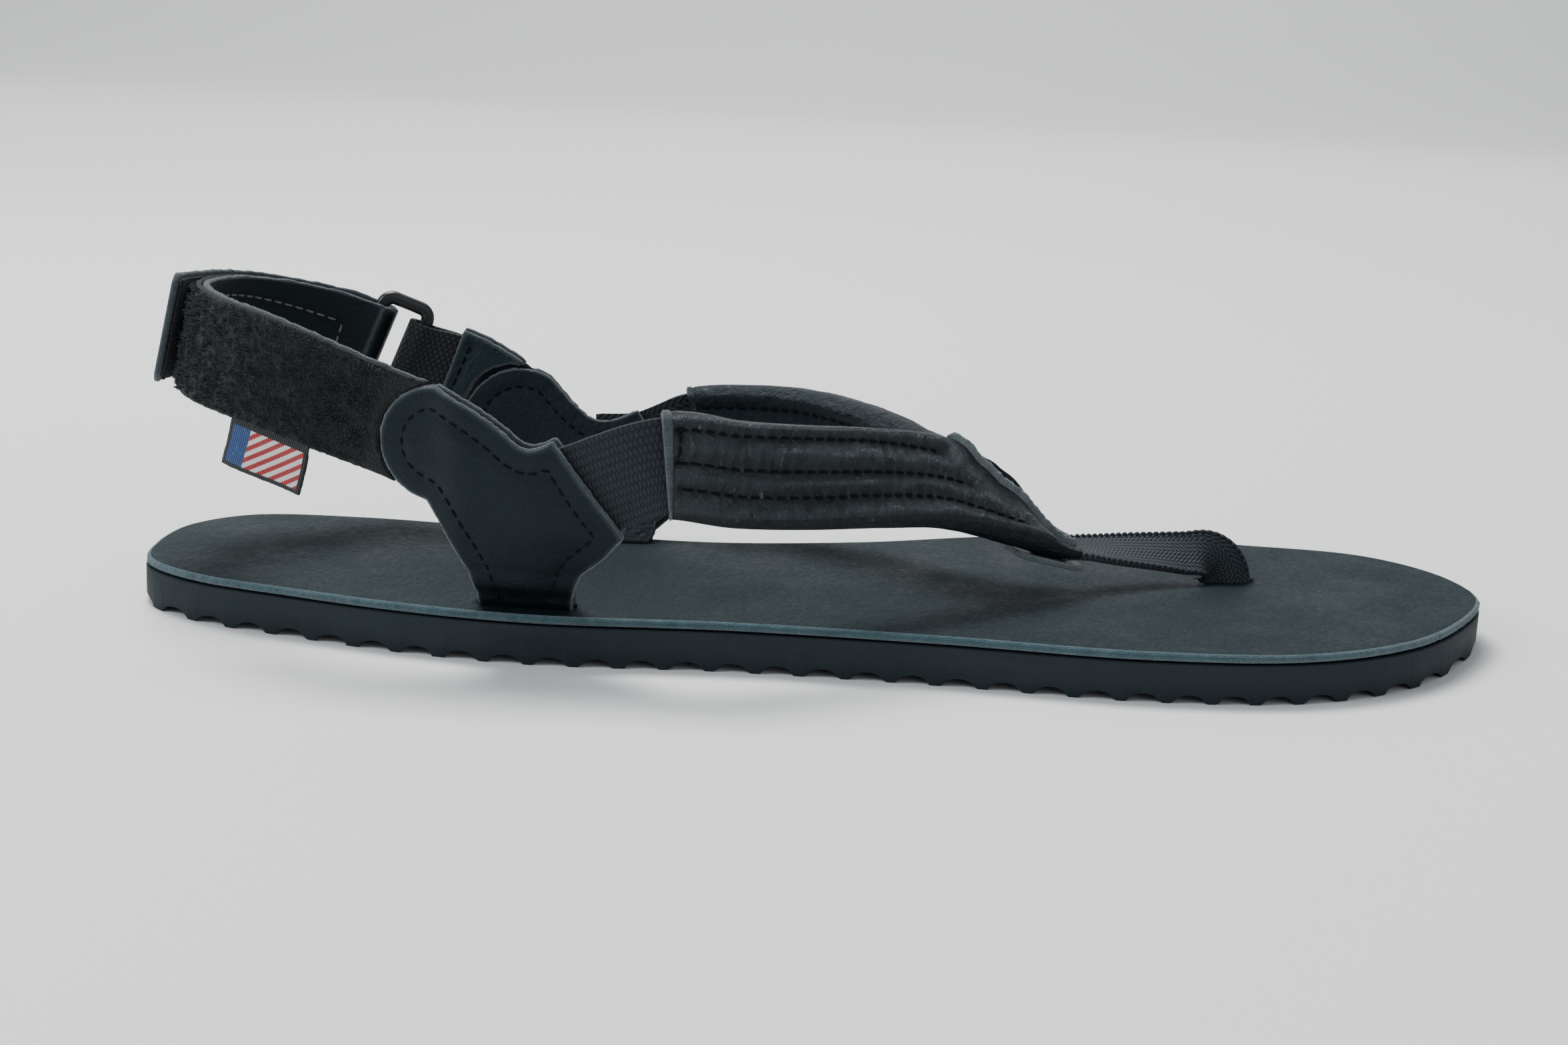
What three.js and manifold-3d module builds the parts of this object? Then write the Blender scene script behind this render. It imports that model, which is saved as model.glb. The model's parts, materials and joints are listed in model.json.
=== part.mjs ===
// A minimalist strappy sport sandal for the right foot.
// Millimetres, +X towards the toes, +Y towards the inner side of the foot, +Z up.
// A ribbed rubber outsole carries a leather footbed. Two leather wings rise through slots in the
// footbed and hold webbing that runs through padded sleeves to a toe post. A heel strap leaves the
// outer wing, goes round the heel, passes a plastic ring and folds back on itself as a tail that
// closes by hook and loop.
import * as THREE from "three";
import { mergeVertices } from "three/addons/utils/BufferGeometryUtils.js";
import { TessellateModifier } from "three/addons/modifiers/TessellateModifier.js";
import Module from "manifold-3d";

const wasm = await Module();
wasm.setup();

// --- Driving dimensions -------------------------------------------------------------------------

// Overall sizes. The patterns are drawn for the base size and graded to these.
const SOLE_LENGTH = 275;
const SOLE_WIDTH = 96;
const STRAP_TOP = 55; // top of the heel strap above the footbed
const BASE_LENGTH = 275;
const BASE_WIDTH = 96;
const BASE_TOP = 55;

const GAP = 0.3; // between two pieces that are glued, sewn or folded together
const PLY_GAP = 0.5; // round the webbing inside a leather sandwich

// Sole
const RUBBER = 7.6;
const FOOTBED = 1.9;
const GROOVE_DEPTH = 1.6;
const GROOVE_WIDTH = 5.4;
const GROOVE_PITCH = 8.5;
const SLOT_CLEARANCE = 0.9;
const POCKET_DEPTH = 1.9; // in the rubber, for the anchors' feet

// Leather, webbing and tape
const LEATHER = 1.3;
const WEBBING = 1.2;
const TAPE = 1.2;
const WEBBING_WIDTH = 17.5;
const HEEL_STRAP_WIDTH = 21.5;
const OUTER_END_WIDTH = HEEL_STRAP_WIDTH - 2; // it narrows to this where it leaves the outer wing
const ARM_WIDTH = HEEL_STRAP_WIDTH + 2;
const ANCHOR_WIDTH = 17;
const ANCHOR_FOOT = 12; // the part of the anchor that lies glued between footbed and rubber
const HINGE_CLEARANCE = 0.6;

// Instep sleeves
const PAD_WIDTH = WEBBING_WIDTH + 2.5;
const PAD_THICKNESS = 5;
const SEAM_GAP = 0.4;
const FLAP_WIDTH = 9;

// Toe post
const TOE_WEBBING_WIDTH = 10;
const STOP_LENGTH = 19;
const STOP_WIDTH = 9;
const STOP_THICKNESS = 1.7;
const STOP_RECESS = 2.2; // below the stop, up from the ground

// Ring, keeper and tail
const RING_LENGTH = 13;
const RING_BAR = 2.8;
const RING_EDGE = 0.8; // chamfer along the ring's bars
const RING_STANDOFF = 16.9; // from the inner wing's round end to the ring's middle
const RING_SIDE_CLEARANCE = 0.8;
const KEEPER_NECK = 7; // from the bar to where the loop's two legs meet
const KEEPER_LEG = 12;
const BAR_CLEARANCE = 1; // leaves the ring room to swivel in its two loops
const HOOK_START = 9; // from the tail's fold line to the hook tape
const TAIL_END_LIFT = 1.4; // its free end stands off the tape

// Woven tag
const TAG_LENGTH = 18.2;
const TAG_DROP = 8.3;
const TAG_THICKNESS = 0.8;
const TAG_GAP = 0.9; // between its fold and the strap's lower edge

// Derived levels
const FOOTBED_BOTTOM = RUBBER + GAP;
const FOOTBED_TOP = FOOTBED_BOTTOM + FOOTBED;
const SANDWICH = LEATHER + 2 * PLY_GAP + WEBBING; // where an outer leather starts over webbing
const TAPE_NEAR = LEATHER + GAP;
const BAR_CENTRE = LEATHER + BAR_CLEARANCE + RING_BAR / 2;
const FOLD_RADIUS = BAR_CENTRE; // to the strap's inner face, round the ring's bar
const TAIL_NEAR = 2 * BAR_CENTRE - LEATHER;

// --- Materials ----------------------------------------------------------------------------------

const finish = (color, roughness, metalness = 0) =>
  new THREE.MeshStandardMaterial({ color, roughness, metalness });
const RUBBER_FINISH = finish(0x1c2126, 0.85);
const FOOTBED_FINISH = finish(0x1a1a1c, 0.7);
const LEATHER_FINISH = finish(0x15151a, 0.5);
const LINING_FINISH = finish(0x2a2523, 0.65);
const PAD_FINISH = finish(0x2b2624, 0.5);
const WEBBING_FINISH = finish(0x34363c, 0.9);
const TAPE_FINISH = finish(0x0e0e10, 1);
const PLASTIC_FINISH = finish(0x111214, 0.35);
const TAG_FINISH = finish(0x9a3038, 0.9);

// --- Placing and joining ------------------------------------------------------------------------

// A place on the foot, drawn at the base size, with its height above the footbed.
function graded(x, y, height) {
  return new THREE.Vector3(
    (x * SOLE_LENGTH) / BASE_LENGTH,
    (y * SOLE_WIDTH) / BASE_WIDTH,
    FOOTBED_TOP + (height * STRAP_TOP) / BASE_TOP,
  );
}
const gradedX = (x) => (x * SOLE_LENGTH) / BASE_LENGTH;
const gradedZ = (height) => FOOTBED_TOP + (height * STRAP_TOP) / BASE_TOP;

function smooth(t) {
  const k = Math.min(Math.max(t, 0), 1);
  return k * k * (3 - 2 * k);
}

function solid(geometry) {
  const bare = geometry.index ? geometry.toNonIndexed() : geometry.clone();
  bare.deleteAttribute("normal");
  bare.deleteAttribute("uv");
  const merged = mergeVertices(bare, 1e-4);
  const made = new wasm.Manifold(
    new wasm.Mesh({
      numProp: 3,
      vertProperties: merged.attributes.position.array,
      triVerts: new Uint32Array(merged.index.array),
    }),
  );
  return made;
}

function geometryOf(made) {
  const mesh = made.getMesh();
  const geometry = new THREE.BufferGeometry();
  geometry.setAttribute("position", new THREE.BufferAttribute(mesh.vertProperties, 3));
  geometry.setIndex(new THREE.BufferAttribute(mesh.triVerts, 1));
  return geometry;
}

const cut = (geometry, ...tools) =>
  geometryOf(tools.reduce((left, tool) => left.subtract(solid(tool)), solid(geometry)));
const join = (geometry, ...more) =>
  geometryOf(more.reduce((left, piece) => left.add(solid(piece)), solid(geometry)));

// Moves every vertex (x, y, z) of a geometry to the place that the function gives.
function bent(geometry, place) {
  const position = geometry.attributes.position;
  for (let i = 0; i < position.count; i++) {
    const p = place(position.getX(i), position.getY(i), position.getZ(i));
    position.setXYZ(i, p.x, p.y, p.z);
  }
  return geometry;
}

function turnedOut(geometry) {
  if (solid(geometry).volume() >= 0) return geometry;
  const flipped = geometry.index ? geometry.toNonIndexed() : geometry;
  const position = flipped.attributes.position;
  for (let i = 0; i < position.count; i += 3) {
    const b = new THREE.Vector3().fromBufferAttribute(position, i + 1);
    const c = new THREE.Vector3().fromBufferAttribute(position, i + 2);
    position.setXYZ(i + 1, c.x, c.y, c.z);
    position.setXYZ(i + 2, b.x, b.y, b.z);
  }
  return flipped;
}

// --- The wall: the side and heel of the foot, which the wings and the heel strap follow ----------

// Its plan runs from the outer side, back round the heel, to the inner side.
const WALL_PLAN = new THREE.CatmullRomCurve3(
  [
    graded(-24, -45.6, 0),
    graded(-45, -45, 0),
    graded(-66, -43, 0),
    graded(-88, -38.5, 0),
    graded(-107, -31, 0),
    graded(-120.5, -18, 0),
    graded(-127, -1, 0),
    graded(-121.5, 16, 0),
    graded(-108, 26.5, 0),
    graded(-90, 31.5, 0),
    graded(-68, 33, 0),
    graded(-46, 33, 0),
    graded(-24, 34, 0),
  ],
  false,
  "centripetal",
);
const WALL_LENGTH = WALL_PLAN.getLength();
const HEEL_STATION = stationAt(-127, -1);
const HEEL_LEAN = 0.2; // inward, per millimetre of height, at the back of the heel
const HEEL_LEAN_SPREAD = 60;
const TUCK_HEIGHT = 36; // below this height above the footbed the wings run in to their slots
const OUTER_TUCK = 11;
const INNER_TUCK = 15;
const TUCK_FADE = 45; // towards the heel, where the wall stands straight

// The arc length along the wall of its point nearest to a drawn place.
function stationAt(x, y) {
  const target = graded(x, y, 0);
  const steps = 600;
  let best = 0;
  let bestDistance = Infinity;
  for (let i = 0; i <= steps; i++) {
    const distance = WALL_PLAN.getPointAt(i / steps).distanceTo(target);
    if (distance < bestDistance) [best, bestDistance] = [i / steps, distance];
  }
  return best * WALL_LENGTH;
}
const stationOnSide = (x, side) => stationAtX(gradedX(x), side);
const outerStation = (x) => stationOnSide(x, -1);
const innerStation = (x) => stationOnSide(x, 1);

// The arc length at which one side of the wall reaches an x.
function stationAtX(target, side) {
  let low = side < 0 ? 0 : HEEL_STATION;
  let high = side < 0 ? HEEL_STATION : WALL_LENGTH;
  for (let i = 0; i < 30; i++) {
    const middle = (low + high) / 2;
    const beyond = WALL_PLAN.getPointAt(middle / WALL_LENGTH).x > target;
    if (beyond === side < 0) low = middle;
    else high = middle;
  }
  return (low + high) / 2;
}

function wallSurface(station, z) {
  const u = Math.min(Math.max(station / WALL_LENGTH, 0), 1);
  const place = WALL_PLAN.getPointAt(u);
  const along = WALL_PLAN.getTangentAt(u);
  const inward = new THREE.Vector3(along.y, -along.x, 0).normalize();
  const back = smooth(1 - Math.abs(station - HEEL_STATION) / HEEL_LEAN_SPREAD);
  const lean = back * HEEL_LEAN * (z - gradedZ(44));
  const low = Math.max(0, gradedZ(TUCK_HEIGHT) - z) / (gradedZ(TUCK_HEIGHT) - FOOTBED_TOP);
  const tuck = station < HEEL_STATION ? OUTER_TUCK : INNER_TUCK;
  const fade = smooth((Math.abs(station - HEEL_STATION) - TUCK_FADE / 2) / TUCK_FADE);
  place.addScaledVector(inward, lean + tuck * fade * low * low);
  place.z = z;
  return place;
}

// The point at an arc length and height, a distance out from the lining's inner face.
function onWall(station, z, out) {
  const step = 0.5;
  const place = wallSurface(station, z);
  const along = wallSurface(station + step, z).sub(wallSurface(station - step, z));
  const up = wallSurface(station, z + step).sub(wallSurface(station, z - step));
  return place.addScaledVector(up.cross(along).normalize(), out);
}

// A flat pattern drawn in station and height, cut from a layer and bent round the wall.
const PATTERN_STEP = 5.5;
function wallPiece(outline, near, far, lift = () => 0) {
  const flat = new THREE.ExtrudeGeometry(new THREE.Shape(outline), {
    depth: far - near,
    bevelEnabled: false,
  });
  const fine = new TessellateModifier(PATTERN_STEP, 8).modify(flat);
  return turnedOut(
    bent(fine, (s, z, out) => onWall(s, z, near + out + lift(s, z))),
  );
}

// --- The heel strap's route on the wall ----------------------------------------------------------

// The strap's centre height against its station.
const STRAP_HEIGHTS = new THREE.CatmullRomCurve3(
  [
    [outerStation(-60), 27],
    [outerStation(-73), 31.8],
    [outerStation(-90), 37],
    [outerStation(-107), 41.6],
    [stationAt(-120.5, -18), 43.2],
    [HEEL_STATION, 43.4],
    [stationAt(-121.5, 16), 42.6],
    [innerStation(-107), 39],
    [innerStation(-97), 35.2],
    [innerStation(-90), 33],
    [innerStation(-80), 29.4],
    [innerStation(-70), 23.4],
    [innerStation(-58), 15.6],
  ].map(([station, height]) => new THREE.Vector3(station, 0, gradedZ(height))),
);

function strapHeight(station) {
  let low = 0;
  let high = 1;
  for (let i = 0; i < 30; i++) {
    const middle = (low + high) / 2;
    if (STRAP_HEIGHTS.getPoint(middle).x < station) low = middle;
    else high = middle;
  }
  return STRAP_HEIGHTS.getPoint((low + high) / 2).z;
}

// The rise of the strap's centre line per millimetre of wall.
function strapSlope(station) {
  return (strapHeight(station + 1) - strapHeight(station - 1)) / 2;
}

// A point on the strap: along the wall, across the strap and out from its inner face.
function onStrap(station, across, out) {
  const slope = strapSlope(station);
  const run = Math.hypot(1, slope);
  return onWall(
    station - (across * slope) / run,
    strapHeight(station) + across / run,
    out,
  );
}

// The strap's width against its station, as a share of its width at the heel.
function taper(station) {
  const t = smooth((station - OUTER_HINGE) / (outerStation(-112) - OUTER_HINGE));
  return THREE.MathUtils.lerp(OUTER_END_WIDTH / HEEL_STRAP_WIDTH, 1, t);
}

// A band along the strap, whose two ends may depend on the place across it.
const STRAP_STEP = 4.5;
const STRAP_STRIPS = 8;
function strapBand(width, near, far, start, end, lift = () => 0) {
  const span = Math.abs(end(0) - start(0));
  const steps = Math.max(3, Math.round(span / STRAP_STEP));
  const flat = new THREE.BoxGeometry(1, width, far - near, steps, STRAP_STRIPS, 1);
  return turnedOut(
    bent(flat, (t, drawn, out) => {
      const across = drawn * taper(start(0) + (t + 0.5) * (end(0) - start(0)));
      const station = start(across) + (t + 0.5) * (end(across) - start(across));
      return onStrap(station, across, (near + far) / 2 + out + lift(station));
    }),
  );
}

// --- Hinge line through both sides, where the leather flexes and the strap tips -------------------

const OUTER_HINGE = outerStation(-72.5);
const INNER_HINGE = innerStation(-67);
const OUTER_HINGE_RADIUS = OUTER_END_WIDTH / 2 + 0.9;
const INNER_HINGE_RADIUS = ARM_WIDTH / 2 + 0.9;
const outerHingeHeight = strapHeight(OUTER_HINGE);
const innerHingeHeight = strapHeight(INNER_HINGE);

// The strap's concave end round the hinge, at a place across it.
const hollowEnd = (centre, radius, side) => (across) =>
  centre +
  (side * Math.sqrt((radius + HINGE_CLEARANCE) ** 2 - across ** 2)) /
    Math.hypot(1, strapSlope(centre));

// --- Sole -----------------------------------------------------------------------------------------

function soleOutline() {
  return new THREE.CatmullRomCurve3(
    [
      graded(-137.5, 1, 0),
      graded(-135, -14, 0),
      graded(-123, -25, 0),
      graded(-104, -32.5, 0),
      graded(-80, -40, 0),
      graded(-55, -44, 0),
      graded(-18, -42.5, 0),
      graded(20, -44.5, 0),
      graded(60, -48.5, 0),
      graded(90, -45, 0),
      graded(113, -32, 0),
      graded(129, -12, 0),
      graded(137.5, 8, 0),
      graded(134, 28, 0),
      graded(121, 42, 0),
      graded(96, 46.5, 0),
      graded(66, 47.5, 0),
      graded(38, 43, 0),
      graded(8, 31, 0),
      graded(-24, 24, 0),
      graded(-60, 27, 0),
      graded(-100, 31.5, 0),
      graded(-124, 29, 0),
      graded(-135, 17, 0),
    ],
    true,
    "centripetal",
  );
}

function soleShape() {
  const points = soleOutline().getPoints(88).slice(0, -1);
  return new THREE.Shape(points.map((p) => new THREE.Vector2(p.x, p.y)));
}

function slab(shape, bottom, top) {
  const geometry = new THREE.ExtrudeGeometry(shape, { depth: top - bottom, bevelEnabled: false });
  return geometry.translate(0, 0, bottom);
}

function blockAt(place, size, turn = 0) {
  const block = new THREE.BoxGeometry(size.x, size.y, size.z);
  return block.rotateZ(turn).translate(place.x, place.y, place.z);
}

// An anchor's place: the middle of its slot, and its turn in plan.
function anchorSeat(x, side) {
  const station = stationOnSide(x, side);
  const middle = LEATHER + PLY_GAP + WEBBING / 2;
  let height = FOOTBED_TOP;
  for (let i = 0; i < 5; i++) height += FOOTBED_TOP - onWall(station, height, middle).z;
  const place = onWall(station, height, middle);
  const ahead = onWall(station + 1, height, middle);
  return { station, height, place, turn: Math.atan2(ahead.y - place.y, ahead.x - place.x), side };
}
const OUTER_SEAT = anchorSeat(-57, -1);
const INNER_SEAT = anchorSeat(-47, 1);

// The slot through the footbed and the pocket in the rubber under it.
function seatCutter(seat, spare) {
  const depth = FOOTBED + 4 * GAP + POCKET_DEPTH;
  const slot = blockAt(
    new THREE.Vector3(seat.place.x, seat.place.y, FOOTBED_TOP + GAP - depth / 2),
    new THREE.Vector3(ANCHOR_WIDTH + 2 * spare, WEBBING + 2 * spare, depth),
    seat.turn,
  );
  return slot;
}

function pocketCutter(seat) {
  const foot = new THREE.BoxGeometry(
    ANCHOR_WIDTH + 2 * SLOT_CLEARANCE,
    ANCHOR_FOOT + WEBBING + 2 * SLOT_CLEARANCE,
    POCKET_DEPTH + GAP,
  );
  foot.translate(0, (-seat.side * ANCHOR_FOOT * Math.sign(Math.cos(seat.turn))) / 2, 0);
  foot.rotateZ(seat.turn);
  return foot.translate(seat.place.x, seat.place.y, RUBBER - POCKET_DEPTH / 2 + GAP / 2);
}

const TOE_SLOT = graded(85.4, 12, 0);
const TOE_SLOT_TURN = 0.06;

function toeSlotCutter() {
  return blockAt(
    new THREE.Vector3(TOE_SLOT.x, TOE_SLOT.y, FOOTBED_TOP / 2),
    new THREE.Vector3(
      TOE_WEBBING_WIDTH + 2 * SLOT_CLEARANCE,
      WEBBING + 2 * SLOT_CLEARANCE,
      2 * FOOTBED_TOP,
    ),
    TOE_SLOT_TURN,
  );
}

const STOP_ROOF = STOP_RECESS + STOP_THICKNESS + GAP;

function roundEndedShape(length, width) {
  const half = (length - width) / 2;
  const shape = new THREE.Shape();
  shape.absarc(half, 0, width / 2, -Math.PI / 2, Math.PI / 2);
  shape.absarc(-half, 0, width / 2, Math.PI / 2, (3 * Math.PI) / 2);
  return shape;
}

function stopSolid(spare, bottom, top) {
  const shape = roundEndedShape(STOP_LENGTH + 2 * spare, STOP_WIDTH + 2 * spare);
  return slab(shape, bottom, top).rotateZ(TOE_SLOT_TURN).translate(TOE_SLOT.x, TOE_SLOT.y, 0);
}

// Grooves across the tread, left out under the waist so that the sole has a plain resting face.
const PLAIN_WAIST = 9;
function grooveCutters() {
  const cutters = [];
  const count = Math.floor(SOLE_LENGTH / 2 / GROOVE_PITCH);
  for (let i = -count; i <= count; i++) {
    const x = i * GROOVE_PITCH;
    if (Math.abs(x) < PLAIN_WAIST) continue;
    cutters.push(
      blockAt(
        new THREE.Vector3(x, 0, GROOVE_DEPTH / 2 - GAP),
        new THREE.Vector3(GROOVE_WIDTH, 1.3 * SOLE_WIDTH, GROOVE_DEPTH + 2 * GAP),
      ),
    );
  }
  return cutters;
}

function outsole() {
  return cut(
    slab(soleShape(), 0, RUBBER),
    ...grooveCutters(),
    pocketCutter(OUTER_SEAT),
    pocketCutter(INNER_SEAT),
    toeSlotCutter(),
    stopSolid(SLOT_CLEARANCE, -1, STOP_ROOF),
  );
}

function footbed() {
  return cut(
    slab(soleShape(), FOOTBED_BOTTOM, FOOTBED_TOP),
    seatCutter(OUTER_SEAT, SLOT_CLEARANCE),
    seatCutter(INNER_SEAT, SLOT_CLEARANCE),
    toeSlotCutter(),
  );
}

// --- Anchors: a strap end that stands in its slot and lies glued under the footbed ----------------

const ANCHOR_TOP = 15.2 - WEBBING_WIDTH / 2; // above the footbed, clear of the webbing's lower edge

function anchor(seat) {
  const near = LEATHER + PLY_GAP;
  const half = ANCHOR_WIDTH / 2;
  const floor = RUBBER - POCKET_DEPTH + GAP;
  const outline = [
    new THREE.Vector2(seat.station - half, seat.height + PLY_GAP),
    new THREE.Vector2(seat.station + half, seat.height + PLY_GAP),
    new THREE.Vector2(seat.station + half, gradedZ(ANCHOR_TOP)),
    new THREE.Vector2(seat.station - half, gradedZ(ANCHOR_TOP)),
  ];
  const upright = wallPiece(outline, near, near + WEBBING);
  const slotTop = FOOTBED_TOP + 1.5 * PLY_GAP;
  const inSlot = blockAt(
    new THREE.Vector3(seat.place.x, seat.place.y, (slotTop + floor) / 2),
    new THREE.Vector3(ANCHOR_WIDTH, WEBBING, slotTop - floor),
    seat.turn,
  );
  const foot = new THREE.BoxGeometry(ANCHOR_WIDTH, ANCHOR_FOOT, WEBBING);
  foot.translate(0, (-seat.side * ANCHOR_FOOT * Math.sign(Math.cos(seat.turn))) / 2, 0);
  foot.rotateZ(seat.turn).translate(seat.place.x, seat.place.y, floor + WEBBING / 2);
  return join(upright, inSlot, foot);
}

// --- Wings -----------------------------------------------------------------------------------------

// An arc of a wing's round rear end about its hinge, in station and height.
function rearArc(centre, height, radius, from, to) {
  const points = [];
  const steps = 10;
  for (let i = 0; i <= steps; i++) {
    const angle = from + ((to - from) * i) / steps;
    points.push(
      new THREE.Vector2(centre + radius * Math.cos(angle), height + radius * Math.sin(angle)),
    );
  }
  return points;
}

// The outer wing's outline: its tab, the round end that the strap tips about, the notch in its
// top edge and the slanting front edge that the webbing leaves by. Stations grow towards the heel.
function outerWingOutline() {
  const at = (x, height) => new THREE.Vector2(outerStation(x), gradedZ(height));
  const below = FOOTBED_TOP - 1;
  const tilt = Math.atan(strapSlope(OUTER_HINGE));
  const arc = rearArc(
    OUTER_HINGE,
    outerHingeHeight,
    OUTER_HINGE_RADIUS,
    tilt - 1.7,
    tilt + 1.25,
  );
  const edge = new THREE.SplineCurve([
    arc[arc.length - 1],
    at(-65, 38.6),
    at(-60, 35.4),
    at(-55.5, 32.4),
    at(-50.6, 34),
  ]);
  return [
    new THREE.Vector2(outerStation(-48), below),
    new THREE.Vector2(outerStation(-66.1), below),
    at(-66.8, 5.5),
    at(-68.5, 10.5),
    ...arc,
    ...edge.getPoints(8).slice(1),
    at(-37.6, 17.4),
    at(-41.4, 13),
    at(-45.6, 9.4),
    at(-47.6, 4.5),
  ];
}

function innerWingOutline() {
  const at = (x, height) => new THREE.Vector2(innerStation(x), gradedZ(height));
  const below = FOOTBED_TOP - 1;
  const tilt = Math.atan(strapSlope(INNER_HINGE));
  const arc = rearArc(
    INNER_HINGE,
    innerHingeHeight,
    INNER_HINGE_RADIUS,
    tilt + Math.PI + 1.7,
    tilt + Math.PI - 1.5,
  );
  return [
    new THREE.Vector2(innerStation(-38), below),
    new THREE.Vector2(innerStation(-56), below),
    at(-57.5, 4),
    ...arc,
    at(-56, 27.6),
    at(-51.4, 24.4),
    at(-47, 24.2),
    at(-41.5, 26.4),
    at(-30.5, 10.4),
    at(-33, 6.8),
    at(-36.6, 4),
  ];
}

// The outer leather rises over the webbing and the anchor, and falls to the strap behind them.
const RISE_LENGTH = 9;
function riseOver(edgeStation, side) {
  const rise = SANDWICH - TAPE_NEAR;
  return (station) => rise * smooth((side * (edgeStation - station)) / RISE_LENGTH);
}

const outerRise = riseOver(outerStation(-76), 1);
const innerRise = () => SANDWICH - TAPE_NEAR;

// A wing ends flat where it stands on the footbed.
function standing(piece) {
  const size = SOLE_LENGTH / 2;
  const under = new THREE.BoxGeometry(size * 2, size, size);
  return cut(piece, under.translate(0, 0, FOOTBED_TOP + GAP - size / 2));
}

const outerWing = () =>
  standing(wallPiece(outerWingOutline(), TAPE_NEAR, TAPE_NEAR + LEATHER, outerRise));
const outerWingLining = () => standing(wallPiece(outerWingOutline(), 0, LEATHER));
const innerWing = () =>
  standing(wallPiece(innerWingOutline(), TAPE_NEAR, TAPE_NEAR + LEATHER, innerRise));
const innerWingLining = () => standing(wallPiece(innerWingOutline(), 0, LEATHER));

// --- Heel strap, tape, ring, keeper, tail and tag ---------------------------------------------------

const RING_STATION = INNER_HINGE - ARM_WIDTH / 2 - RING_STANDOFF;
const REAR_BAR = RING_STATION - RING_LENGTH / 2 + RING_BAR / 2;
const FRONT_BAR = RING_STATION + RING_LENGTH / 2 - RING_BAR / 2;
const TAIL_HINGE = REAR_BAR - 4;
const TAG_STATION = outerStation(-102.5);

const strapStart = hollowEnd(OUTER_HINGE, OUTER_HINGE_RADIUS, 1);
const level = (station) => () => station;

// The lining runs from the outer hinge to the ring and turns round the ring's rear bar.
function heelStrapLining() {
  const straight = strapBand(HEEL_STRAP_WIDTH, 0, LEATHER, strapStart, level(REAR_BAR + 0.05));
  return join(straight, fold());
}

// The turn round the rear bar, and the short run back to the tail's fold line.
function fold() {
  const inner = FOLD_RADIUS - LEATHER;
  const shape = new THREE.Shape();
  shape.moveTo(0, 0);
  shape.absarc(0, BAR_CENTRE, FOLD_RADIUS, -Math.PI / 2, Math.PI / 2);
  shape.lineTo(TAIL_HINGE + GAP - REAR_BAR, BAR_CENTRE + FOLD_RADIUS);
  shape.lineTo(TAIL_HINGE + GAP - REAR_BAR, BAR_CENTRE + inner);
  shape.lineTo(0, BAR_CENTRE + inner);
  shape.absarc(0, BAR_CENTRE, inner, Math.PI / 2, -Math.PI / 2, true);
  const flat = new THREE.ExtrudeGeometry(shape, {
    depth: HEEL_STRAP_WIDTH,
    bevelEnabled: false,
    curveSegments: 8,
  });
  return turnedOut(
    bent(flat, (s, out, across) => onRing(REAR_BAR + s, across - HEEL_STRAP_WIDTH / 2, out)),
  );
}

// A point in the ring's own flat frame, which touches the strap at the ring's rear bar.
function onRing(station, across, out) {
  const base = onStrap(REAR_BAR, 0, 0);
  const along = onStrap(REAR_BAR + 1, 0, 0).sub(onStrap(REAR_BAR - 1, 0, 0)).normalize();
  const up = onStrap(REAR_BAR, 1, 0).sub(onStrap(REAR_BAR, -1, 0));
  up.addScaledVector(along, -up.dot(along)).normalize();
  const outward = new THREE.Vector3().crossVectors(up, along);
  return base
    .addScaledVector(along, station - REAR_BAR)
    .addScaledVector(up, across)
    .addScaledVector(outward, out);
}

function loopTape() {
  const start = (across) => strapStart(across);
  return strapBand(HEEL_STRAP_WIDTH, TAPE_NEAR, TAPE_NEAR + TAPE, start, level(TAIL_HINGE - 1));
}

function ring() {
  const height = HEEL_STRAP_WIDTH + 2 * RING_SIDE_CLEARANCE + 2 * RING_BAR;
  const edge = RING_EDGE;
  const shape = roundedRectangle(RING_LENGTH - 2 * edge, height - 2 * edge, 2);
  const opening = 2 * RING_BAR - 2 * edge;
  shape.holes.push(roundedRectangle(RING_LENGTH - opening, height - opening, 1.2));
  const flat = new THREE.ExtrudeGeometry(shape, {
    depth: RING_BAR - 2 * edge,
    bevelThickness: edge,
    bevelSize: edge,
    bevelSegments: 1,
    curveSegments: 4,
  });
  const near = BAR_CENTRE - RING_BAR / 2 + edge;
  return turnedOut(
    bent(flat, (s, across, out) => onRing(RING_STATION + s, across, near + out)),
  );
}

function roundedRectangle(width, height, radius) {
  const [x, y] = [width / 2 - radius, height / 2 - radius];
  const shape = new THREE.Shape();
  shape.absarc(x, y, radius, 0, Math.PI / 2);
  shape.absarc(-x, y, radius, Math.PI / 2, Math.PI);
  shape.absarc(-x, -y, radius, Math.PI, 1.5 * Math.PI);
  shape.absarc(x, -y, radius, 1.5 * Math.PI, 2 * Math.PI);
  return shape;
}

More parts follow.
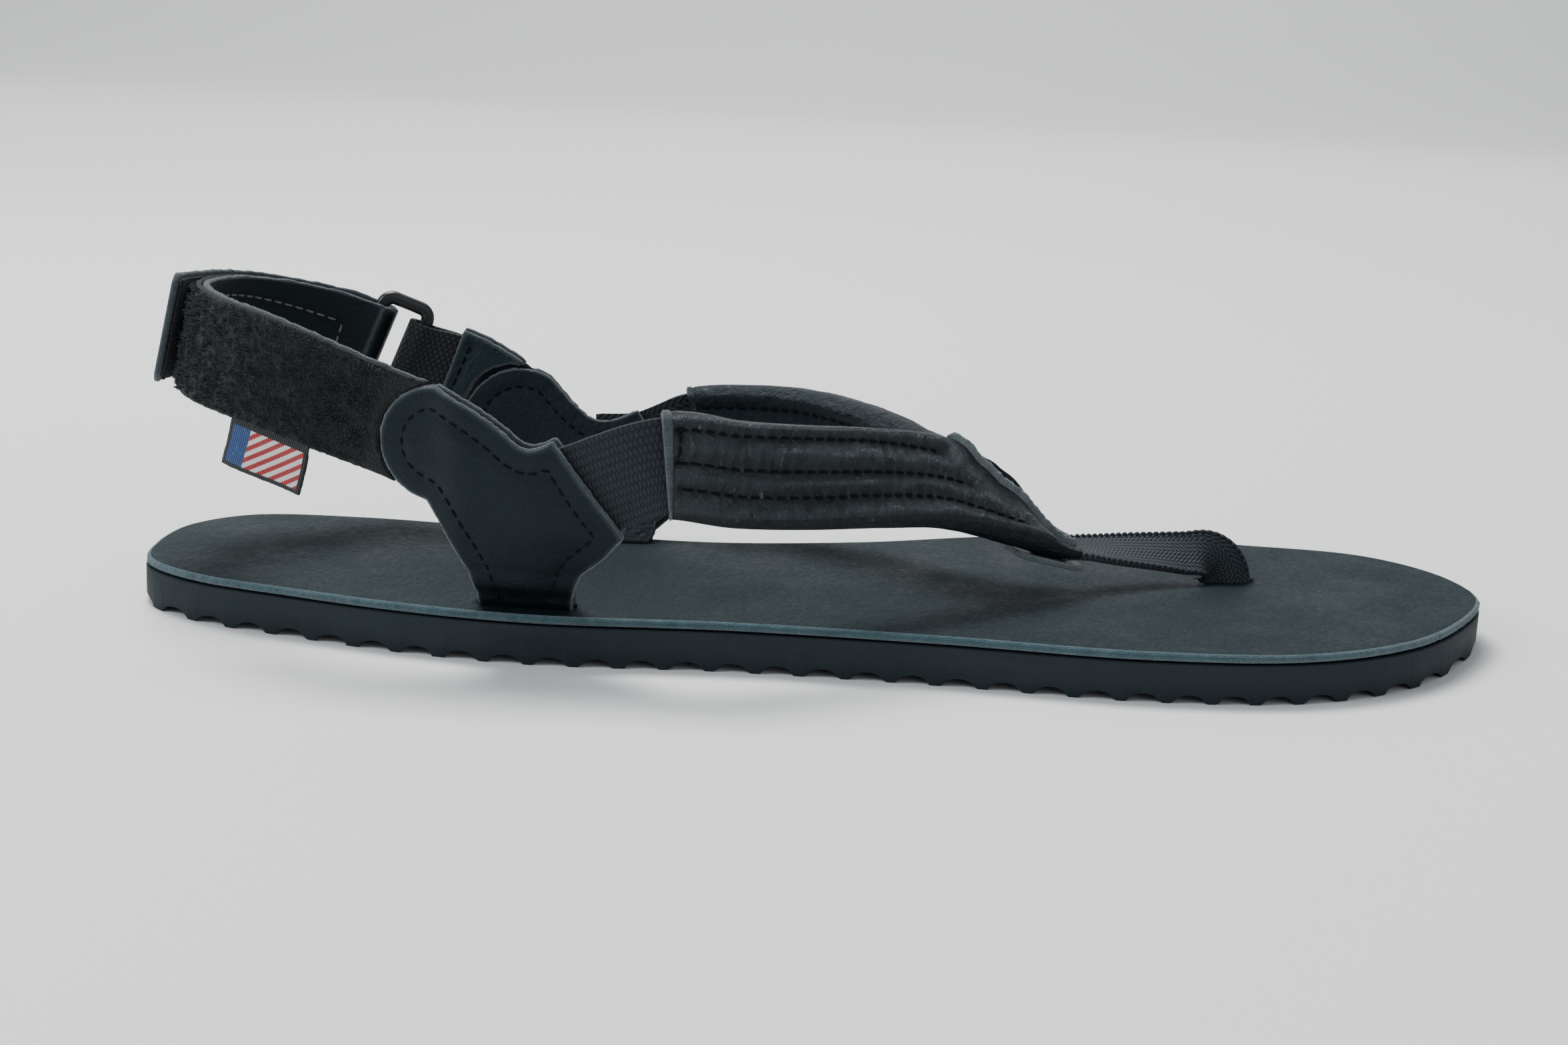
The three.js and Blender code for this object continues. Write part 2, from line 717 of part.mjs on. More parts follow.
// A webbing loop round the ring's front bar, whose two legs are sewn into the arm's end.
function ringKeeper() {
  const inner = BAR_CENTRE - LEATHER;
  const outer = inner + WEBBING;
  const legTop = LEATHER + 2 * GAP + 2 * WEBBING;
  const shape = new THREE.Shape();
  shape.moveTo(KEEPER_LEG, LEATHER + GAP);
  shape.lineTo(KEEPER_LEG, legTop);
  shape.lineTo(KEEPER_NECK, legTop);
  shape.lineTo(0, BAR_CENTRE + outer);
  shape.absarc(0, BAR_CENTRE, outer, Math.PI / 2, 1.5 * Math.PI);
  shape.lineTo(KEEPER_NECK, LEATHER + GAP);
  const hole = new THREE.Path();
  hole.moveTo(KEEPER_NECK - WEBBING, BAR_CENTRE);
  hole.lineTo(0, BAR_CENTRE + inner);
  hole.absarc(0, BAR_CENTRE, inner, Math.PI / 2, 1.5 * Math.PI);
  shape.holes.push(hole);
  const width = HEEL_STRAP_WIDTH - 1.5;
  const flat = new THREE.ExtrudeGeometry(shape, {
    depth: width,
    bevelEnabled: false,
    curveSegments: 8,
  });
  const fine = new TessellateModifier(PATTERN_STEP, 6).modify(flat);
  return turnedOut(
    bent(fine, (s, out, depth) => {
      const across = depth - width / 2;
      const atBar = onRing(FRONT_BAR + s, across, out);
      return atBar.lerp(onStrap(FRONT_BAR + s, across, out), smooth(s / KEEPER_NECK));
    }),
  );
}

// The arm between the inner hinge and the keeper: leather outside, lining inside.
const ARM_END = FRONT_BAR + KEEPER_NECK;
const ARM_LEGS = LEATHER + 3 * GAP + 2 * WEBBING;
const armRoot = hollowEnd(INNER_HINGE, INNER_HINGE_RADIUS, -1);
const innerArm = () =>
  strapBand(ARM_WIDTH, ARM_LEGS, ARM_LEGS + LEATHER, level(ARM_END), armRoot);
const innerArmLining = () => strapBand(ARM_WIDTH, 0, LEATHER, level(ARM_END), armRoot);

// The tail lies on the outside of the strap, from its fold line to the back of the heel.
const TAIL_END = HEEL_STATION - 4;
const CLOSED_NEAR = TAPE_NEAR + 2 * TAPE + 2 * GAP;
function tailLift(station) {
  const pressedOn = smooth((TAIL_HINGE - station) / HOOK_START);
  const free = smooth((TAIL_END + 12 - station) / 12);
  return (CLOSED_NEAR - TAIL_NEAR) * pressedOn + TAIL_END_LIFT * free;
}

function strapTail() {
  return strapBand(
    HEEL_STRAP_WIDTH,
    TAIL_NEAR,
    TAIL_NEAR + LEATHER,
    level(TAIL_END),
    level(TAIL_HINGE),
    tailLift,
  );
}

function hookTape() {
  const far = TAIL_NEAR - GAP;
  return strapBand(
    HEEL_STRAP_WIDTH - 1.5,
    far - TAPE,
    far,
    level(TAIL_END),
    level(TAIL_HINGE - HOOK_START),
    tailLift,
  );
}

// It hangs from the strap's lower edge, a flat piece in line with it.
function sideTag() {
  const hem = (step) => onStrap(TAG_STATION + step, -HEEL_STRAP_WIDTH / 2 - TAG_GAP, LEATHER);
  const along = hem(1).sub(hem(-1)).normalize();
  const up = onStrap(TAG_STATION, 0, LEATHER).sub(hem(0));
  up.addScaledVector(along, -up.dot(along)).normalize();
  const outward = new THREE.Vector3().crossVectors(up, along);
  const flat = new THREE.BoxGeometry(TAG_LENGTH, TAG_DROP, TAG_THICKNESS, 4, 2, 1);
  flat.translate(0, -TAG_DROP / 2, 0);
  return turnedOut(
    bent(flat, (s, across, out) =>
      hem(0).addScaledVector(along, s).addScaledVector(up, across).addScaledVector(outward, out)),
  );
}

// --- Instep straps and toe post ---------------------------------------------------------------------

// A ribbon's route: its centre line, and the direction across it at the same stations.
function ribbonRoute(centres, acrosses) {
  const centre = new THREE.CatmullRomCurve3(centres, false, "centripetal");
  const across = new THREE.CatmullRomCurve3(acrosses, false, "catmullrom");
  return (u) => {
    const along = centre.getTangent(u);
    const side = across.getPoint(u);
    side.addScaledVector(along, -side.dot(along)).normalize();
    return {
      place: centre.getPoint(u),
      across: side,
      out: new THREE.Vector3().crossVectors(along, side),
    };
  };
}

const ROUTE_STEPS = 26;

// A section, drawn across and out, swept along a route from one parameter to another.
function ribbon(route, section, from, to, steps = ROUTE_STEPS) {
  const flat = new THREE.ExtrudeGeometry(section, {
    depth: 1,
    steps,
    bevelEnabled: false,
    curveSegments: 5,
  });
  return turnedOut(
    bent(flat, (across, out, t) => {
      const frame = route(from + t * (to - from));
      return frame.place.addScaledVector(frame.across, across).addScaledVector(frame.out, out);
    }),
  );
}

const direction = (x, y, z) => new THREE.Vector3(x, y, z);
const WEB_MIDDLE = LEATHER + PLY_GAP + WEBBING / 2;
const inWing = (x, height, side) =>
  onWall(stationOnSide(x, side), gradedZ(height), WEB_MIDDLE);

const OUTER_ROUTE = ribbonRoute(
  [
    inWing(-60, 19.5, -1),
    inWing(-46, 25, -1),
    graded(-30.7, -46.5, 30),
    graded(-17.4, -42.3, 28.2),
    graded(-4, -35.8, 27),
    graded(9, -27, 25.8),
    graded(22, -17, 23.6),
    graded(37, -6.2, 16.9),
    graded(49.5, 3, 10.4),
    graded(58, 9, 7),
  ],
  [
    direction(-0.36, 0, 0.93),
    direction(-0.34, 0, 0.94),
    direction(-0.2, 0.05, 0.98),
    direction(-0.15, 0.22, 0.96),
    direction(-0.11, 0.38, 0.92),
    direction(-0.1, 0.53, 0.84),
    direction(-0.1, 0.66, 0.74),
    direction(-0.16, 0.84, 0.46),
    direction(-0.2, 0.93, 0.22),
    direction(-0.2, 0.93, 0.22),
  ],
);

const INNER_ROUTE = ribbonRoute(
  [
    inWing(-50, 17.5, 1),
    inWing(-40, 18.3, 1),
    graded(-29, 35.5, 21.6),
    graded(-16, 34, 23.4),
    graded(-3.5, 28.3, 24.2),
    graded(9, 18, 24),
    graded(21.5, 5, 22.2),
    graded(35, -2, 18.8),
    graded(48, -7, 12.6),
    graded(58, -10, 7),
  ],
  [
    direction(-0.4, 0, 0.92),
    direction(-0.38, 0, 0.92),
    direction(-0.2, -0.1, 0.97),
    direction(-0.12, -0.25, 0.96),
    direction(-0.1, -0.38, 0.92),
    direction(-0.1, -0.56, 0.82),
    direction(-0.1, -0.72, 0.69),
    direction(-0.1, -0.88, 0.42),
    direction(-0.1, -0.95, 0.2),
    direction(-0.1, -0.95, 0.2),
  ],
);

function stripSection(width, thickness) {
  const [x, y] = [width / 2, thickness / 2];
  return new THREE.Shape([
    new THREE.Vector2(-x, -y),
    new THREE.Vector2(x, -y),
    new THREE.Vector2(x, y),
    new THREE.Vector2(-x, y),
  ]);
}

function sleeveSection() {
  const shape = roundEndedShape(PAD_WIDTH, PAD_THICKNESS);
  const bore = stripSection(WEBBING_WIDTH + 2 * PLY_GAP, WEBBING + 2 * PLY_GAP);
  shape.holes.push(new THREE.Path(bore.getPoints()));
  return shape;
}

// The seam where the two sleeves meet runs along this line in plan, and ends at its tip.
const SEAM_TOP = graded(22.9, -9, 0);
const SEAM_TIP = graded(51, -2.2, 0);

// A block that takes away all beyond the seam on one side, or all ahead of its tip.
function trimBlock(turn) {
  const size = SOLE_LENGTH / 2;
  const along = SEAM_TIP.clone().sub(SEAM_TOP);
  const block = new THREE.BoxGeometry(2 * size, size, size);
  block.translate(0, (size - SEAM_GAP) / 2, size / 2);
  block.rotateZ(Math.atan2(along.y, along.x) + turn);
  return block.translate(SEAM_TIP.x, SEAM_TIP.y, 0);
}
const innerOfSeam = () => trimBlock(0);
const outerOfSeam = () => trimBlock(Math.PI);
const aheadOfTip = () => trimBlock(-Math.PI / 2);

const PAD_START = 2 / 9;
const WEBBING_END = 0.66;

const outerPad = () =>
  cut(ribbon(OUTER_ROUTE, sleeveSection(), PAD_START, 1), innerOfSeam(), aheadOfTip());
const innerPad = () =>
  cut(ribbon(INNER_ROUTE, sleeveSection(), PAD_START, 1), outerOfSeam(), aheadOfTip());

// Webbing: inside its wing it lies against the wall, and it runs free once out of it.
const POCKET_END = 0.17;
const FREE_FROM = 0.222;
function strapWebbing(route, side) {
  const flat = new THREE.BoxGeometry(WEBBING_WIDTH, WEBBING, 1, 4, 1, 24);
  return turnedOut(
    bent(flat, (across, out, t) => {
      const u = (t + 0.5) * WEBBING_END;
      const frame = route(u);
      const free = frame.place.clone().addScaledVector(frame.across, across);
      const station = stationAtX(free.x, side);
      const held = onWall(station, free.z, WEB_MIDDLE - side * out);
      free.addScaledVector(frame.out, out);
      return held.lerp(free, smooth((u - POCKET_END) / (FREE_FROM - POCKET_END)));
    }),
  );
}
const outerWebbing = () => strapWebbing(OUTER_ROUTE, -1);
const innerWebbing = () => strapWebbing(INNER_ROUTE, 1);

// The leather flap under the sleeves' tip, which covers the start of the toe webbing.
const FLAP_ROUTE = ribbonRoute(
  [graded(37, -11, 8.2), graded(44, -7.5, 6.2), graded(51, -3.5, 3.9)],
  [direction(-0.3, 0.93, 0.05), direction(-0.3, 0.93, 0.05), direction(-0.3, 0.93, 0.05)],
);
const underFlap = () => ribbon(FLAP_ROUTE, stripSection(FLAP_WIDTH, LEATHER), 0, 1, 5);

const TOE_ROUTE = ribbonRoute(
  [
    graded(52, -0.5, 7.7),
    graded(57.5, 2.5, 7),
    graded(67, 7, 6.1),
    graded(75.2, 9.6, 5.5),
    graded(80.9, 11, 5.2),
    graded(84, 11.9, 2.9),
    new THREE.Vector3(TOE_SLOT.x, TOE_SLOT.y, FOOTBED_TOP - 1),
    new THREE.Vector3(TOE_SLOT.x, TOE_SLOT.y, STOP_ROOF),
  ],
  [
    direction(0, 0.99, 0.14),
    direction(-0.05, 0.95, 0.27),
    direction(0.2, 0.88, 0.42),
    direction(0.43, 0.7, 0.53),
    direction(0.7, 0.42, 0.5),
    direction(0.96, 0.08, 0.2),
    direction(1, Math.tan(TOE_SLOT_TURN), 0),
    direction(1, Math.tan(TOE_SLOT_TURN), 0),
  ],
);
const toeWebbing = () =>
  ribbon(TOE_ROUTE, stripSection(TOE_WEBBING_WIDTH, WEBBING), 0, 1, 22);
const toeStop = () => stopSolid(0, STOP_RECESS, STOP_RECESS + STOP_THICKNESS);

// --- The sandal --------------------------------------------------------------------------------------

const PIECES = [
  ["outsole", outsole, RUBBER_FINISH],
  ["footbed", footbed, FOOTBED_FINISH],
  ["lateral_anchor", () => anchor(OUTER_SEAT), WEBBING_FINISH],
  ["medial_anchor", () => anchor(INNER_SEAT), WEBBING_FINISH],
  ["lateral_wing", outerWing, LEATHER_FINISH],
  ["lateral_wing_lining", outerWingLining, LINING_FINISH],
  ["medial_wing", innerWing, LEATHER_FINISH],
  ["medial_wing_lining", innerWingLining, LINING_FINISH],
  ["lateral_webbing", outerWebbing, WEBBING_FINISH],
  ["medial_webbing", innerWebbing, WEBBING_FINISH],
  ["lateral_pad", outerPad, PAD_FINISH],
  ["medial_pad", innerPad, PAD_FINISH],
  ["under_flap", underFlap, PAD_FINISH],
  ["toe_webbing", toeWebbing, WEBBING_FINISH],
  ["toe_stop", toeStop, PLASTIC_FINISH],
  ["heel_strap_lining", heelStrapLining, LINING_FINISH],
  ["loop_tape", loopTape, TAPE_FINISH],
  ["medial_arm", innerArm, LEATHER_FINISH],
  ["medial_arm_lining", innerArmLining, LINING_FINISH],
  ["ring_keeper", ringKeeper, WEBBING_FINISH],
  ["ring", ring, PLASTIC_FINISH],
  ["strap_tail", strapTail, LEATHER_FINISH],
  ["hook_tape", hookTape, TAPE_FINISH],
  ["side_tag", sideTag, TAG_FINISH],
];

const sandal = new THREE.Group();
for (const [name, make, material] of PIECES) {
  const mesh = new THREE.Mesh(make(), material);
  mesh.name = name;
  sandal.add(mesh);
}

// The origin is on the ground, under the middle of the whole sandal.
const middle = new THREE.Box3().setFromObject(sandal).getCenter(new THREE.Vector3());
for (const mesh of sandal.children) mesh.geometry.translate(-middle.x, -middle.y, 0);

export default sandal;
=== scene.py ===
import json
import math

import bmesh
import bpy
import numpy as np
from mathutils import Matrix, Vector, noise


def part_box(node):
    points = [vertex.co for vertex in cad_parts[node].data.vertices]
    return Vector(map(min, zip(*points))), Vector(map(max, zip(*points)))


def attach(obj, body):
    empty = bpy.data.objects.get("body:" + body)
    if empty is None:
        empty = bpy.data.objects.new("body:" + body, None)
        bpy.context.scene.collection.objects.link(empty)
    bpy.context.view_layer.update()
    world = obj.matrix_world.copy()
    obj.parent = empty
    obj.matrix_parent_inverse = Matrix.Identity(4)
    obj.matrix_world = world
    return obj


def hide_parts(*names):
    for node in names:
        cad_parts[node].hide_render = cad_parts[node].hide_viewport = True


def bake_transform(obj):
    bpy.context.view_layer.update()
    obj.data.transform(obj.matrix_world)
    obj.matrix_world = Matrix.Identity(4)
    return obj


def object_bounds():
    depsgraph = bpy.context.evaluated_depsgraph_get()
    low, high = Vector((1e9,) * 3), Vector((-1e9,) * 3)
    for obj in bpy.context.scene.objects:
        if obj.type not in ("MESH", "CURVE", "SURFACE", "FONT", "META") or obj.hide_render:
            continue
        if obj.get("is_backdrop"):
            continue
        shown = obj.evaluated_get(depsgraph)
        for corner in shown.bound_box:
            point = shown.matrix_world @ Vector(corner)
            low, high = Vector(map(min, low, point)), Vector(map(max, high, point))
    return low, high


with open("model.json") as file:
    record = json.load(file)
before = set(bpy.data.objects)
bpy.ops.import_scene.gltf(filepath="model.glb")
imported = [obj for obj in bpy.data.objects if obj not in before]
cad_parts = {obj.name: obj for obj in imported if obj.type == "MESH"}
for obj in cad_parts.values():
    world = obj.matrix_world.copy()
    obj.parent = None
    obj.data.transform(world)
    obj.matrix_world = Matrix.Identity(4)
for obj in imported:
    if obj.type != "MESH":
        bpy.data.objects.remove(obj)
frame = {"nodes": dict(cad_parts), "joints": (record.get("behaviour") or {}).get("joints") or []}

cad_low, cad_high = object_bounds()

# --- Outsole ---
# A thin sheet of firm black rubber, cut to the foot's outline. Its tread is a row of low ribs with
# arched gaps between them, which open at the sole's side.

MM = 0.001  # patterns are drawn in millimetres
RUBBER_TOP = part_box("outsole")[1].z / MM
RIB_PITCH = 8.5
RIB_GAP = 5.9
RIB_HEIGHT = 1.6
SOLE_PLAN = [
    (-137.5, 1), (-135, -14), (-123, -25), (-104, -32.5), (-80, -40), (-55, -44), (-18, -42.5),
    (20, -44.5), (60, -48.5), (90, -45), (113, -32), (129, -12), (137.5, 8), (134, 28), (121, 42),
    (96, 46.5), (66, 47.5), (38, 43), (8, 31), (-24, 24), (-60, 27), (-100, 31.5), (-124, 29),
    (-135, 17),
]


def drawn_curve(points, at, closed=False, even=False):
    """Points of a smooth curve through a pattern's marks, at shares of its run of marks."""
    p = np.array(points, float)
    n = len(p)
    if closed:
        p = np.vstack([p[-1], p, p[0], p[1]])
    else:
        p = np.vstack([2 * p[0] - p[1], p, 2 * p[-1] - p[-2]])
    spans = n if closed else n - 1
    t = np.clip(np.asarray(at, float), 0, 1) * spans
    i = np.minimum(t.astype(int), spans - 1)
    w = (t - i)[:, None]
    a, b, c, d = p[i], p[i + 1], p[i + 2], p[i + 3]
    if even:
        start, stop = (c - a) / 2, (d - b) / 2
    else:
        gap = [np.sqrt(np.linalg.norm(q - r, axis=1))[:, None] for q, r in ((b, a), (c, b), (d, c))]
        gap = [np.maximum(g, 1e-3) for g in gap]
        start = ((b - a) / gap[0] - (c - a) / (gap[0] + gap[1]) + (c - b) / gap[1]) * gap[1]
        stop = ((c - b) / gap[1] - (d - b) / (gap[1] + gap[2]) + (d - c) / gap[2]) * gap[1]
    return (
        b + start * w + (3 * (c - b) - 2 * start - stop) * w**2
        + (2 * (b - c) + start + stop) * w**3
    )


sole_outline = drawn_curve(SOLE_PLAN, np.arange(0, 1, 1 / 720), closed=True)
# The patterns are drawn about the sole's own middle; the sandal's origin lies a little off it.
low_corner = np.array(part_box("footbed")[0]) / MM
OFFSET = np.array([*(low_corner[:2] - sole_outline.min(0)), 0.0])


def outward_of(loop):
    """The outward direction at each corner of a pattern that runs anticlockwise."""
    ahead = np.roll(loop, -1, 0) - loop
    ahead /= np.maximum(np.linalg.norm(ahead, axis=1), 1e-9)[:, None]
    both = ahead + np.roll(ahead, 1, 0)
    both /= np.maximum(np.linalg.norm(both, axis=1), 1e-9)[:, None]
    return np.stack([both[:, 1], -both[:, 0]], 1)


def anticlockwise(loop):
    """The same pattern, turned round if it ran clockwise."""
    loop = np.array(loop, float)
    x, y = loop.T
    area = np.sum(x * np.roll(y, -1) - np.roll(x, -1) * y)
    return loop if area > 0 else loop[::-1]


def edge_distance(points, loop):
    """Each point's distance from a drawn line, and how far along it the nearest place is."""
    a, b = loop[:-1], loop[1:]
    run = b - a
    length = np.maximum(np.linalg.norm(run, axis=1), 1e-9)
    reach = np.concatenate([[0], np.cumsum(length)])
    best = np.full(len(points), 1e9)
    along = np.zeros(len(points))
    for k in range(len(a)):
        t = np.clip((points - a[k]) @ run[k] / length[k] ** 2, 0, 1)
        gap = np.linalg.norm(points - (a[k] + t[:, None] * run[k]), axis=1)
        nearer = gap < best
        best[nearer] = gap[nearer]
        along[nearer] = reach[k] + t[nearer] * length[k]
    return best, along


def as_level(value, points):
    """A level is given as one number, or as something that works it out at each point."""
    return value(points) if callable(value) else np.full(len(points), float(value))


def body_mesh(name, corners, faces, marks, finishes, face_finish, extra=None):
    """A closed piece from its corners, with its pattern kept as a UV map in metres."""
    mesh = bpy.data.meshes.new(name)
    mesh.from_pydata(((corners + OFFSET) * MM).tolist(), [], faces)
    uv = mesh.uv_layers.new(name="pattern")
    order = np.zeros(len(mesh.loops), int)
    mesh.loops.foreach_get("vertex_index", order)
    uv.data.foreach_set("uv", (np.asarray(marks)[order] * MM).ravel())
    for finish in finishes:
        mesh.materials.append(finish)
    mesh.polygons.foreach_set("material_index", face_finish)
    if extra is not None:
        mesh.attributes.new("from_edge", "FLOAT", "POINT").data.foreach_set("value", extra)
    turned = bmesh.new()
    turned.from_mesh(mesh)
    bmesh.ops.recalc_face_normals(turned, faces=turned.faces)
    turned.to_mesh(mesh)
    turned.free()
    mesh.shade_smooth()
    piece = bpy.data.objects.new(name, mesh)
    bpy.context.collection.objects.link(piece)
    return piece


def cut_layer(name, outline, pitch, place, near, far, finish, cut_edge=None, back=None,
              soften=0.35, fray=0.0):
    """One flat layer cut to a pattern, its edges softened, laid where place(x, y, out) puts it."""
    outline = anticlockwise(outline)
    flat = bmesh.new()
    flat.faces.new([flat.verts.new((x, y, 0)) for x, y in outline - soften * outward_of(outline)])
    for axis in (0, 1):
        start, stop = outline[:, axis].min(), outline[:, axis].max()
        for line in np.arange(math.ceil(start / pitch[axis]), stop / pitch[axis]) * pitch[axis]:
            everything = flat.verts[:] + flat.edges[:] + flat.faces[:]
            where, facing = [0, 0, 0], [0, 0, 0]
            where[axis], facing[axis] = line, 1
            bmesh.ops.bisect_plane(
                flat, geom=everything, dist=1e-4, plane_co=where, plane_no=facing
            )
    flat.verts.index_update()
    xy = np.array([v.co[:2] for v in flat.verts])
    count = len(xy)
    faces = [[v.index for v in f.verts] for f in flat.faces]
    rim = {}
    for edge in flat.edges:
        if len(edge.link_faces) == 1:
            loop = edge.link_loops[0]
            rim[loop.vert.index] = loop.link_loop_next.vert.index
    ring = [next(iter(rim))]
    while rim[ring[-1]] != ring[0]:
        ring.append(rim[ring[-1]])
    flat.free()
    ring = np.array(ring)
    if np.mean([np.cross(xy[f[1]] - xy[f[0]], xy[f[2]] - xy[f[1]]) for f in faces[:50]]) < 0:
        ring = ring[::-1]
    facing = outward_of(xy[ring])
    top, bottom = as_level(far, xy), as_level(near, xy)
    r = np.minimum(soften, 0.45 * (top - bottom)[ring])
    rough = np.array([noise.noise(Vector((x * 1.3, y * 1.3, 7.0))) for x, y in xy[ring]])
    places, levels = [xy, xy], [top, bottom]
    for turn, side in ((0.25, 1), (0.5, 1), (0.5, -1), (0.25, -1)):
        angle = math.pi * turn
        out_by = soften * math.sin(angle) + fray * rough * math.sin(angle)
        places.append(xy[ring] + facing * np.atleast_1d(out_by)[:, None])
        drop = r * (1 - math.cos(angle))
        levels.append(top[ring] - drop if side > 0 else bottom[ring] + drop)
    marks = np.vstack(places)
    corners = place(marks[:, 0], marks[:, 1], np.concatenate(levels))
    n = len(ring)
    all_faces = faces + [[v + count for v in reversed(f)] for f in faces]
    kinds = [0] * len(faces) + [2 if back else 0] * len(faces)
    rows = [ring] + [2 * count + k * n + np.arange(n) for k in range(4)] + [ring + count]
    for upper, lower in zip(rows[:-1], rows[1:]):
        for k in range(n):
            m = (k + 1) % n
            all_faces.append([int(upper[k]), int(lower[k]), int(lower[m]), int(upper[m])])
            kinds.append(1 if cut_edge else 0)
    closed = np.vstack([outline, outline[:1]])
    inside = edge_distance(marks, closed)[0]
    inside[2 * count:] = 0
    return body_mesh(name, corners, all_faces, marks, [finish, cut_edge or finish, back or finish],
                     kinds, inside)


def settle(piece, body, finish_slot, *nodes):
    """Fixes a finished piece to the part of the sandal that it moves with."""
    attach(piece, body)
    if nodes:
        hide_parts(*nodes)
    return piece


def new_finish(name, colour, roughness, **settings):
    """A finish with its plain settings; the grain or weave is worked into it afterwards."""
    finish = bpy.data.materials.new(name)
    finish.use_nodes = True
    shader = finish.node_tree.nodes["Principled BSDF"]
    shader.inputs["Base Color"].default_value = (*colour, 1)
    shader.inputs["Roughness"].default_value = roughness
    for setting, value in settings.items():
        shader.inputs[setting.replace("_", " ")].default_value = value
    return finish


def worked(finish, kind, inputs=(), **settings):
    """Adds one step to a finish; inputs maps its sockets to numbers or to earlier steps."""
    step = finish.node_tree.nodes.new(kind)
    for setting, value in settings.items():
        setattr(step, setting, value)
    for socket, value in dict(inputs).items():
        if isinstance(value, bpy.types.NodeSocket):
            finish.node_tree.links.new(value, step.inputs[socket])
        else:
            step.inputs[socket].default_value = value
    return step


def on_piece(finish, stretch):
    """The place on the piece, drawn out by this much along each of its axes."""
    where = worked(finish, "ShaderNodeTexCoord").outputs["Object"]
    return worked(finish, "ShaderNodeMapping", {"Vector": where, "Scale": stretch}).outputs[0]


def grown_pattern(finish, size, detail=3.0, stretch=(1, 1, 1), rough=0.55):
    """Cloudy variation of about this size in millimetres."""
    cloud = worked(
        finish, "ShaderNodeTexNoise",
        {"Vector": on_piece(finish, stretch), "Scale": 1 / (size * MM), "Detail": detail,
         "Roughness": rough},
    )
    return cloud.outputs[0]


def pebbled_pattern(finish, size, kind="F1", stretch=(1, 1, 1)):
    """Cells of about this size in millimetres, such as the pebbles of a leather's grain."""
    cells = worked(
        finish, "ShaderNodeTexVoronoi",
        {"Vector": on_piece(finish, stretch), "Scale": 1 / (size * MM)}, feature=kind,
    )
    return cells.outputs["Distance"]


def between(finish, share, low, high, start=0.0, stop=1.0):
    """Turns a pattern into a share that runs from low to high."""
    step = worked(
        finish, "ShaderNodeMapRange",
        {"Value": share, "From Min": start, "From Max": stop, "To Min": low, "To Max": high},
    )
    return step.outputs[0]


def sum_of(finish, first, second, how="ADD"):
    """Joins two patterns, by adding them unless another way is named."""
    return worked(finish, "ShaderNodeMath", {0: first, 1: second}, operation=how).outputs[0]


def tint(finish, share, dark, light):
    """Mixes two shades, each a colour or an earlier step, by a pattern's share."""
    first, second = (v if isinstance(v, bpy.types.NodeSocket) else (*v, 1) for v in (dark, light))
    mix = worked(
        finish, "ShaderNodeMix", {"Factor": share, 6: first, 7: second}, data_type="RGBA",
    )
    return mix.outputs[2]


def dress(finish, colour=None, roughness=None, height=None, depth=0.1, strength=1.0):
    """Gives a finish its worked colour, roughness and relief; depth is in millimetres."""
    shader = finish.node_tree.nodes["Principled BSDF"]
    links = finish.node_tree.links
    if colour is not None:
        links.new(colour, shader.inputs["Base Color"])
    if roughness is not None:
        links.new(roughness, shader.inputs["Roughness"])
    if height is not None:
        relief = worked(
            finish, "ShaderNodeBump",
            {"Height": height, "Distance": depth * MM, "Strength": strength},
        )
        links.new(relief.outputs[0], shader.inputs["Normal"])
    return finish


def rib_arches(points):
    """The tread's underside: the rounded roof of the gaps between the ribs."""
    x = points[:, 0] / RIB_PITCH
    from_gap = (x - np.round(x)) * RIB_PITCH / (RIB_GAP / 2)
    return RIB_HEIGHT * np.sqrt(np.clip(1 - from_gap**2, 0, 1))


def flat_place(x, y, out):
    """The sole's two layers lie flat: a pattern's mark is its place."""
    return np.stack([x, y, out], 1)


sole_rubber = new_finish("sole_rubber", (0.01, 0.015, 0.02), 0.7, Specular_IOR_Level=0.25)
scuffs = grown_pattern(sole_rubber, 9, 6, (0.5, 1, 3))
crumb = grown_pattern(sole_rubber, 0.5, 2)
dress(
    sole_rubber,
    tint(sole_rubber, scuffs, (0.0045, 0.009, 0.012), (0.017, 0.027, 0.033)),
    between(sole_rubber, scuffs, 0.55, 0.85),
    sum_of(sole_rubber, crumb, scuffs), 0.16,
)
outsole = cut_layer(
    "rubber_outsole", sole_outline, (RIB_PITCH / 12, 6), flat_place, rib_arches, RUBBER_TOP,
    sole_rubber, soften=0.3,
)
settle(outsole, "sole", "outsole_rubber", "outsole")

# --- Footbed ---
# A sheet of thick vegetable-tanned leather, dyed near black, glued over the rubber. Its cut edge is
# left raw and napped, and three slots let the straps through.

BED_LOW, BED_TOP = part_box("footbed")[0].z / MM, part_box("footbed")[1].z / MM
TOE_SLOT, TOE_SLOT_TURN = np.array([85.4, 12.0]), 0.06
TOE_LINE = np.array([(40, -9), (52, -0.5), (57.5, 2.5), (67, 7), (75.2, 9.6), (83, 11.5)])


def ripples(points, length, width, seed):
    """Smooth unevenness over a pattern, in swells about this long and wide."""
    return np.array([noise.noise(Vector((a / length, b / width, seed))) for a, b in points])


def pressed_bed(points):
    """The footbed's top, pressed a little by the heel, the ball of the foot and the toe webbing."""
    x, y = points.T
    swell = ripples(points, 55, 40, 1.0)
    under_webbing = np.exp(-((edge_distance(points, TOE_LINE)[0] / 7) ** 2))
    heel = np.exp(-(((x + 98) / 26) ** 2) - ((y + 1) / 17) ** 2)
    return BED_TOP - 0.2 + 0.15 * swell - 0.5 * under_webbing - 0.25 * heel


